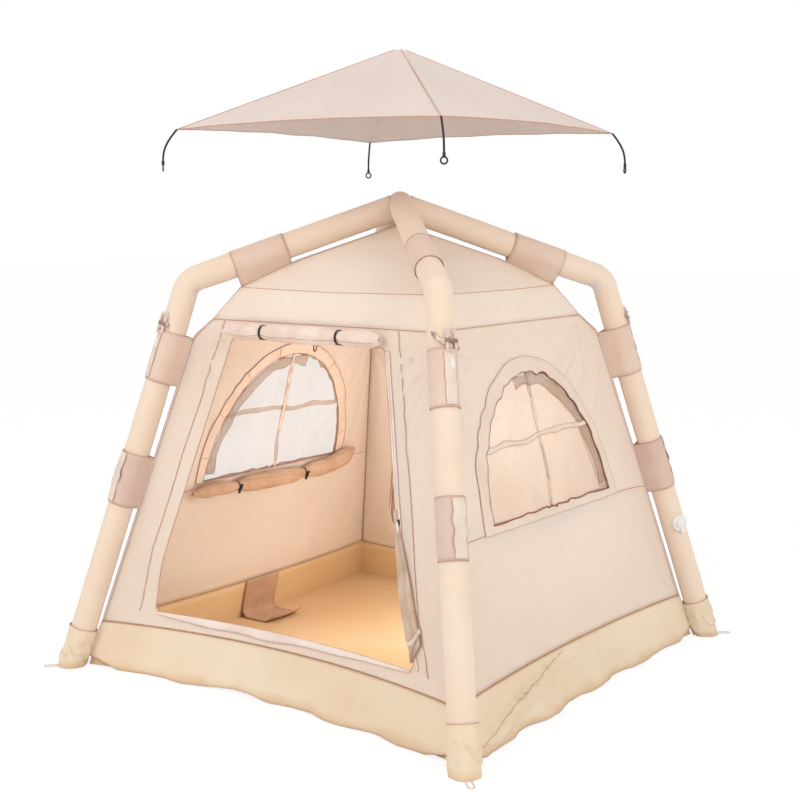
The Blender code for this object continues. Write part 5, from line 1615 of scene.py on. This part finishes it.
skirt_rows = [skirt_row(step) for step in range(SKIRT_STEPS + 1)]
skirt = cloth_piece("mud_flap", skirt_rows, ground_cloth, CLOTH_THICK, "ground_skirt",
                    closed=True)
hem = bound("mud_flap_hem", [skirt_rows[-1]], TUB_SEAM)
top = bound("mud_flap_seam", [skirt_rows[0]], 0.0008)
for number, (outward, along) in enumerate(SIDES.values()):
    part = slice(number * SIDE_COLUMNS, (number + 1) * SIDE_COLUMNS)
    note_stitches(skirt_rows[0][part], skirt_rows[1][part], 0.5, outward * 0.0010, closed=False)
    stand = outward * 0.0012 + UP * 0.0006
    note_stitches(skirt_rows[-1][part], skirt_rows[-2][part], 0.7, stand, closed=False)
fold_edge = []
for step, row in enumerate(skirt_rows):
    share = fold_line(step / SKIRT_STEPS) + 0.03
    if share > -0.97:
        even = math.copysign(1 - (1 - abs(share)) ** (1 / CROWDING), share)
        column = SIDE_COLUMNS + (even + 1) / 2 * SIDE_COLUMNS
        low = int(column)
        fold_edge.append(row[low].lerp(row[low + 1], column - low) + SIDES["right"][0] * 0.0012)
turned_edge = bound("mud_flap_turned_edge", [fold_edge[1:]], TUB_SEAM, closed=False)
lay_sheet(skirt_rows, (8.10, 0.27))


# Threshold
# A strip of pale cloth along the foot of the doorway, sewn at its top edge, its lower edge drooping.
THRESHOLD_STEPS = 90
THRESHOLD_LEFT, THRESHOLD_SPAN = -0.735, 1.46
THRESHOLD_TOP = DOOR_LOW + 0.003
THRESHOLD_STANDS = ((0, 0.0020), (0.35, 0.0046), (0.7, 0.0058), (1, 0.0036))

threshold_cloth = cloth_finish("threshold_cloth", (0.955, 0.90, 0.865), (0.90, 0.81, 0.76), 0.7, 8.0, 0.05,
                               1.0, 14.0, 0.005)
threshold_rows = []
for part in spaced(0, 1, THRESHOLD_STEPS):
    share = THRESHOLD_LEFT + THRESHOLD_SPAN * part
    uneven = 0.72 + 0.45 * noise_at(share * 3.3, 0, 1)
    drop = 0.006 + 0.046 * math.sin(math.pi * part ** 0.8) ** 0.7 * uneven
    row = []
    for w, stand in THRESHOLD_STANDS:
        wave = 0.0030 * noise_at(share * 16, w * 3, 2) * math.sin(math.pi * w)
        z = THRESHOLD_TOP - drop * w
        off = stand + wave + wall_relief("front", share * 0.94, z, drop * w)
        row.append(wall_point("front", share, z, -off))
    threshold_rows.append(row)
threshold = cloth_piece("threshold_strip", threshold_rows, threshold_cloth, STRIP_CLOTH)
bound("threshold_edges", long_edges(threshold_rows), 0.0009, closed=False)
lay_sheet(threshold_rows, (1.46, 0.07), closed=False)


# Cable flap
# A strip of band cloth that covers the cable port: sewn at the tub's seam, it hangs down the tub inside
# and lies on the floor, its free end curled up.
FLAP_WIDTH = 0.24
FLAP_PLACE = -0.05
FLAP_ON_FLOOR = 0.198
FLAP_COLUMNS = 12

outward, along = SIDES["left"]
top = wall_point("left", FLAP_PLACE, TUB_HEIGHT, WALL_CLOTH + 0.002)
fold = wall_point("left", FLAP_PLACE, 0.009, WALL_CLOTH + 0.010)
line = evenly(rounded([top, fold, fold - outward * FLAP_ON_FLOOR], [0.035], [10]), 0.010)
flap_rows = []
for k, point in enumerate(line):
    share = k / (len(line) - 1)
    curl = max(share - 0.86, 0) / 0.14
    row = []
    for w in spaced(-1, 1, FLAP_COLUMNS):
        off = 0.0035 * noise_at(w * 2, share * 4, 6) + 0.002
        rise = 0.020 * curl ** 2 + 0.012 * curl * w ** 2 + max(0.004 - point.z, 0)
        row.append(point + along * (w * FLAP_WIDTH / 2 * (1 - 0.06 * share)) + UP * rise - outward * off)
    flap_rows.append(row)
flap = cloth_piece("cable_flap_cloth", flap_rows, curtain_cloth, CLOTH_THICK, "cable_flap")
bound("cable_flap_edges", [*long_edges(flap_rows), flap_rows[-1]], 0.0013, closed=False)
lay_sheet(flap_rows, (FLAP_WIDTH, 0.42), closed=False)


# Rolled door
# The outer door is rolled up under the eave and held by two elastic ties, with a loop of cord between them.
DOOR_ROLL_RADIUS = 0.039
DOOR_ROLL_HEIGHT = 1.497
DOOR_TIES = (3 / 12, 9 / 12)
ROLL_PINCH = 0.72

roll_cloth = cloth_finish("door_cloth", (0.955, 0.885, 0.84), (0.88, 0.77, 0.70), 0.7, 8.0, 0.05, 1.0, 12.0,
                          0.005)
along, climb, normal = wall_axes("front")
ends = [surface_point("front", edge[1], DOOR_ROLL_HEIGHT, DOOR_ROLL_RADIUS + CLEAR)
        for edge in (DOOR_LEFT, DOOR_RIGHT)]
run = [ends[0].lerp(ends[1], share) for share in spaced(0, 1, 30)]
tied = pinched(DOOR_ROLL_RADIUS, DOOR_TIES, ROLL_PINCH, end_share=0.55)
rows = roll_piece("door_roll", run, climb, tied, roll_cloth, "rolled_door", folds=1.8,
                  seed=11.0, twist=1.2, depth=1.9)
bound("door_roll_hems", [[row[column] for row in rows[7:-7]] for column in (46, 20)], 0.0012, closed=False)
heading = (ends[1] - ends[0]).normalized()
for number, tie in enumerate(DOOR_TIES, start=1):
    band = elastic_band(f"door_elastic_{number}", ends[0].lerp(ends[1], tie), heading, climb,
                        DOOR_ROLL_RADIUS * ROLL_PINCH + 0.0006, width=0.010, thick=0.0020)
    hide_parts(f"door_tie_{number}")
hang = surface_point("front", 0.02, DOOR_ROLL_HEIGHT - 0.030, 0.012) - climb * 0.016
loop = [hang + along * (0.011 * math.sin(t)) + climb * (0.020 * math.cos(t)) + normal * (0.004 * math.sin(t))
        for t in turns_round(24)]
bound("door_roll_loop", [loop], 0.0030, finish=piping)


# Mesh door
# The inner door of mesh is gathered at the right jamb and tied back with a webbing strap,
# so that its hem hangs in a point. A pleated fold of it shows outside the jamb.
MESH_DOOR_RADIUS = 0.030
MESH_DOOR_ENDS = (1.42, 0.30)
MESH_DOOR_GAP = 0.0026
MESH_DOOR_TIES = (10 / 12,)
LOBE_ENDS = (0.86, 0.305)
LOBE_STEPS, LOBE_COLUMNS = 48, 18
STRAP_STEPS = 30
STRAP_COLUMNS = (-0.0085, -0.004, 0.0, 0.004, 0.0085)

mesh_cloth = cloth_finish("gathered_mesh", (0.93, 0.84, 0.75), (0.82, 0.70, 0.61), 0.8, 12.0, 0.3, 1.0,
                          30.0, 0.004)
stand = -(WALL_CLOTH + MESH_DOOR_RADIUS + MESH_DOOR_GAP)
run = [surface_point("front", door_edge(z) + MESH_DOOR_RADIUS, z, stand) for z in spaced(*MESH_DOOR_ENDS, 40)]
tied_back = pinched(MESH_DOOR_RADIUS, MESH_DOOR_TIES, pinch=0.55, end_share=0.5)
roll_piece("mesh_door_cloth", run, SIDES["front"][1], lambda share: tied_back(share) * min(0.45 + share, 1),
           mesh_cloth, "mesh_door", folds=2.4, seed=4.0, gathered=0.5)

lobe_rows = []
for share, z in zip(spaced(0, 1, LOBE_STEPS), spaced(*LOBE_ENDS, LOBE_STEPS)):
    width = 0.010 + 0.062 * math.sin(math.pi * min(share * 0.62 + 0.02, 1)) ** 1.2
    width *= max(1 - max(share - 0.86, 0) / 0.15, 0.12)
    row = []
    for w in spaced(0, 1, LOBE_COLUMNS):
        pleat = 0.0045 * math.sin(w * 15 + 2.5 * noise_at(share * 4, w, 0)) * min(share * 4, 1)
        belly = 0.016 * math.sin(math.pi * w) ** 0.8 * min(share * 2.2 + 0.15, 1)
        row.append(surface_point("front", door_edge(z) - 0.004 + width * w, z, 0.0030 + belly + pleat))
    lobe_rows.append(row)
lobe = cloth_piece("mesh_door_fold", lobe_rows, mesh_cloth, STRIP_CLOTH)
edges = bound("mesh_door_fold_edges", long_edges(lobe_rows), 0.0013, closed=False)
lay_sheet(lobe_rows, (0.12, 0.60), closed=False)

strap_rows = []
for share in spaced(0, 1, STRAP_STEPS):
    hook = max(1 - share * 4, 0)
    x = -0.010 + 0.088 * share + 0.020 * hook
    z = 0.352 + 0.082 * share + 0.006 * math.sin(share * 8) - 0.022 * hook
    stand = 0.0055 + 0.022 * math.sin(math.pi * min(share * 1.1, 1)) ** 0.8
    x += door_edge(z)
    strap_rows.append([surface_point("front", x - 0.5 * w, z + w, stand + 0.003 * math.sin(w * 160))
                       for w in STRAP_COLUMNS])
strap = cloth_piece("mesh_door_strap", strap_rows, webbing, STRIP_CLOTH)
strap_edge = bound("mesh_door_strap_edges", long_edges(strap_rows), 0.0008, closed=False)
lay_sheet(strap_rows, (0.0175, 0.135), closed=False)


# Zip
# The tape of a coil zip, sewn down the door's right edge, and the black slider on it.
TAPE_ENDS = (0.275, 1.452)
TAPE_COLUMNS = (0.0035, 0.010, 0.019, 0.0255)

tape_rows = []
for z in spaced(*TAPE_ENDS, 60):
    row = []
    for x in TAPE_COLUMNS:
        place = door_edge(z) + x
        stand = 0.0014 + wall_relief("front", place, z, x)
        row.append(surface_point("front", place + 0.0016 * noise_at(z * 7, 0, 2), z, stand))
    tape_rows.append(row)
tape = cloth_piece("zip_tape", tape_rows, threshold_cloth, 0.0008)
tape_edge = bound("zip_tape_edge", [[row[-1] for row in tape_rows]], 0.0008, closed=False)
lay_sheet(tape_rows, (0.026, 1.26), closed=False)
refinish(("zip_slider",), moulded_finish("slider_black", (0.10, 0.095, 0.09), 0.4))


# Roof canopy
# Two tiers of cloth sewn to the walls at the eave and drawn up to the crown, with felled seams on its hips.
PEAK_PATCH = 0.02
ROOF_COLUMNS = 28
ROOF_TIERS = ((EAVE_HALF, RIDGE_HALF, 5), (RIDGE_HALF, UPPER_RIDGE_HALF, 8),
              (UPPER_RIDGE_HALF, PEAK_PATCH, 12))

roof_cloth = cloth_finish("roof_cloth", (0.95, 0.895, 0.845), (0.93, 0.85, 0.785), 0.6, 1.6, 0.05, 0.7, 3.0,
                          0.008, glow=0.12)


def roof_height(half):
    """Height of the roof's hips, at half the roof's width there."""
    profile = RIB_PROFILE[2:-1] + [(PEAK_PATCH, PEAK_HEIGHT)]
    for (wide, low), (narrow, high) in zip(profile, profile[1:]):
        if half >= narrow:
            return low + (high - low) * (wide - half) / (wide - narrow)
    return PEAK_HEIGHT


roof_halves = [EAVE_HALF - 0.0012]
for wide, narrow, steps in ROOF_TIERS:
    roof_halves += spaced(wide, narrow, steps)[1:]
roof_rows = []
for r, half in enumerate(roof_halves):
    droop = math.sin(math.pi * r / (len(roof_halves) - 1))
    row = []
    for number, (outward, along) in enumerate(SIDES.values()):
        for share in side_shares(ROOF_COLUMNS):
            loose = (1 - share * share) * droop
            sag = loose * (0.010 + 0.004 * noise_at(share * 3, r * 0.3, number))
            row.append((outward + along * share) * half + UP * (roof_height(half) - 0.0014 - sag))
    roof_rows.append(row)
roof = domed_piece("roof_cloth", roof_rows, UP * (PEAK_HEIGHT - 0.001), roof_cloth, CLOTH_THICK)
assign(roof, "roof_canopy")
hips = [[row[ROOF_COLUMNS * k] + UP * 0.0012 for row in roof_rows] for k in range(4)]
hip_seams = bound("roof_hip_seams", hips, 0.0014, closed=False)
tier_lines = [[p + UP * 0.0010 for p in roof_rows[5]], roof_rows[0]]
tier_seams = bound("roof_tier_seams", tier_lines, 0.0015)
lay_sheet(roof_rows, (1.35, 1.35))


# Wall seams
# The corner seams of the body, bound inside too, the seam across each side at its sill,
# and the strips beside the door.
SILL_SEAM_ENDS = (0.745, 0.735)
DOOR_SEAM_ENDS = (0.262, 1.532)
DOOR_SEAM_GAP = 0.075

inner_binding = thread_finish("inner_binding", (0.78, 0.55, 0.40), (0.66, 0.43, 0.30))
corner_lines = [[at_corner(corner, along_profile(h) + 0.0004, h) for h in spaced(TUB_HEIGHT, EAVE_HEIGHT, 40)]
                for corner in CORNERS]
bound("corner_seams", corner_lines, 0.0017, closed=False)
bound("inner_corner_seams", [[p - at_corner(corner, 0.0052, 0) for p in line]
                             for corner, line in zip(CORNERS, corner_lines)], 0.0022, closed=False,
      finish=inner_binding)
lines = []
for side, middle in WINDOW_MIDDLES.items():
    inward = wall_axes(side)[2] * (-WALL_CLOTH + 0.0008)
    far = along_profile(SILL_SEAM_ENDS[1]) - 0.002
    for way in (-1, 1):
        places = spaced(middle + way * (WINDOW_HALF + FACING_WIDTH), way * far, 20)
        line = [on_wall(side, x, z, 0.0006) for x, z in zip(places, spaced(*SILL_SEAM_ENDS, 20))]
        lines += [line, [p + inward for p in line]]
for way, edge in ((1, DOOR_RIGHT), (-1, DOOR_LEFT)):
    line = [on_wall("front", door_edge(h, edge) + way * DOOR_SEAM_GAP, h, 0.0008)
            for h in spaced(*DOOR_SEAM_ENDS, 40)]
    lines.append(line)
    stitch_lines["tent"].append([p + Vector((0.005, 0, 0)) for p in line])
bound("panel_seams", lines, 0.0013, closed=False)


# Fly
# A square of light cloth cut in four gores, its ridges and hem felled, slack between the ridges.
FLY_PEAK = 2.685
FLY_SAG = 0.012
FLY_ARCH = 0.014
FLY_STEPS = 26
FLY_COLUMNS = 36

fly_cloth = cloth_finish("fly_cloth", (0.885, 0.822, 0.79), (0.865, 0.785, 0.745), 0.6, 2.0, 0.05, 0.8, 3.0,
                         0.007, glow=0.08)
fly_rows = []
for down in spaced(1, PEAK_PATCH / FLY_HALF, FLY_STEPS):
    hem = max((down - 0.82) / 0.18, 0)
    lift = FLY_ARCH * hem ** 1.5 - FLY_SAG * math.sin(math.pi * down) ** 0.8
    row = []
    for number, (outward, along) in enumerate(SIDES.values()):
        for share in side_shares(FLY_COLUMNS):
            slack = (1 - share * share) * (lift + 0.004 * noise_at(share * 4 + number * 3, down * 3, 2))
            height = FLY_PEAK - (FLY_PEAK - FLY_RIM) * down + slack - 0.0012
            row.append((outward + along * share) * (FLY_HALF * down - 0.0010) + UP * height)
    fly_rows.append(row)
fly = domed_piece("fly_sheet", fly_rows, UP * (FLY_PEAK - 0.0105), fly_cloth, CLOTH_THICK)
corner_columns = [FLY_COLUMNS * k for k in range(4)]
ridge_lines = [[row[column] + UP * 0.0008 for row in fly_rows] for column in corner_columns]
ridges = tubes_piece("fly_ridge_seams", ridge_lines, 0.0016, 6, seam_thread)
fly_hem = tubes_piece("fly_hem", [fly_rows[0]], 0.0017, 6, seam_thread, closed=True)
for piece in (fly, ridges, fly_hem):
    assign(piece, body="fly")
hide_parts("fly_canopy")
lay_sheet(fly_rows, (1.45, 1.45))
note_stitches(fly_rows[0], fly_rows[1], 0.35, UP * 0.0010, "fly")
for column in corner_columns:
    for beside in (column + 1, column - 1):
        line = [row[column].lerp(row[beside], 0.30) + UP * 0.0012 for row in fly_rows[:-3]]
        stitch_lines["fly"].append(line)


# Stitching
# Lock stitch along the hems and seams, one short bead of thread after another.
# The coils of the zips are made the same way, from one small tooth.
STITCH = {"Spacing": 0.0065, "Length": 0.0042, "Width": 0.0011, "Height": 0.0008}
TOOTH = {"Spacing": 0.0030, "Length": 0.0018, "Width": 0.0062, "Height": 0.0022}
BACK_TOOTH = {"Spacing": 0.0034, "Length": 0.0020, "Width": 0.0062, "Height": 0.0022}
COIL_ENDS = (0.285, 1.440)
COIL_PLACE = 0.013


def make_row_tree():
    """Small rounded pieces in a row along a path, each turned to follow it."""
    tree = bpy.data.node_groups.new("row_along_path", "GeometryNodeTree")
    face = tree.interface
    face.new_socket("Geometry", in_out="INPUT", socket_type="NodeSocketGeometry")
    for label in STITCH:
        face.new_socket(label, in_out="INPUT", socket_type="NodeSocketFloat")
    face.new_socket("Finish", in_out="INPUT", socket_type="NodeSocketMaterial")
    face.new_socket("Geometry", in_out="OUTPUT", socket_type="NodeSocketGeometry")
    start = tree.nodes.new("NodeGroupInput").outputs
    line = add_node(tree, "GeometryNodeMeshToCurve", {0: start["Geometry"]}).outputs[0]
    given = {"Curve": line, "Length": start["Spacing"]}
    even = add_node(tree, "GeometryNodeResampleCurve", given, mode="LENGTH").outputs[0]
    bead = add_node(tree, "GeometryNodeMeshIcoSphere", {"Radius": 0.5, "Subdivisions": 1})
    tangent = add_node(tree, "GeometryNodeInputTangent").outputs[0]
    turn = add_node(tree, "FunctionNodeAlignRotationToVector", {"Vector": tangent}, axis="X").outputs[0]
    sizes = {0: start["Length"], 1: start["Width"], 2: start["Height"]}
    size = add_node(tree, "ShaderNodeCombineXYZ", sizes).outputs[0]
    given = {"Points": even, "Instance": bead.outputs["Mesh"], "Rotation": turn, "Scale": size}
    beads = add_node(tree, "GeometryNodeInstanceOnPoints", given)
    real = add_node(tree, "GeometryNodeRealizeInstances", {0: beads.outputs[0]}).outputs[0]
    skin = add_node(tree, "GeometryNodeSetMaterial", {"Geometry": real, "Material": start["Finish"]})
    feed(tree, tree.nodes.new("NodeGroupOutput"), {0: skin.outputs[0]})
    return tree


ROW_TREE = make_row_tree()
ROW_INPUTS = {item.name: item.identifier for item in ROW_TREE.interface.items_tree if item.in_out == "INPUT"}


def row_piece(name, paths, body, finish, sizes):
    """One piece of small parts set along paths."""
    points, edges = [], []
    for path in paths:
        base = len(points)
        points += [tuple(p) for p in path]
        edges += [(base + k, base + k + 1) for k in range(len(path) - 1)]
    mesh = bpy.data.meshes.new(name)
    mesh.from_pydata(points, edges, [])
    made = put(name, mesh)
    row = made.modifiers.new("row", "NODES")
    row.node_group = ROW_TREE
    for label, value in {**sizes, "Finish": finish}.items():
        row[ROW_INPUTS[label]] = value
    evaluated = made.evaluated_get(bpy.context.evaluated_depsgraph_get())
    result = bpy.data.meshes.new_from_object(evaluated)
    made.modifiers.remove(row)
    made.data = result
    assign(made, body=body)


sewing_thread = cloth_finish("sewing_thread", (0.80, 0.66, 0.58), (0.72, 0.56, 0.48), 0.5, 40, 0.2, 0.1, 80,
                             0.0003)
zip_coil = moulded_finish("zip_coil", (0.80, 0.66, 0.60), 0.45)
dark_coil = moulded_finish("dark_zip_coil", (0.46, 0.32, 0.27), 0.45)
row_piece("stitches_tent", stitch_lines["tent"], "tent", sewing_thread, STITCH)
row_piece("stitches_fly", stitch_lines["fly"], "fly", sewing_thread, STITCH)
coil = [on_wall("front", door_edge(z) + COIL_PLACE, z, 0.0024, COIL_PLACE) for z in spaced(*COIL_ENDS, 80)]
row_piece("zip_teeth", [coil], "tent", zip_coil, TOOTH)
outline = back_door_outline()
for label, stand in (("outer", 0.0012), ("inner", -WALL_CLOTH + 0.0004)):
    line = [surface_point("back", x, z, stand) for x, z in outline + outline[:1]]
    row_piece(f"back_zip_{label}", [line], "tent", dark_coil, BACK_TOOTH)

bpy.context.view_layer.update()
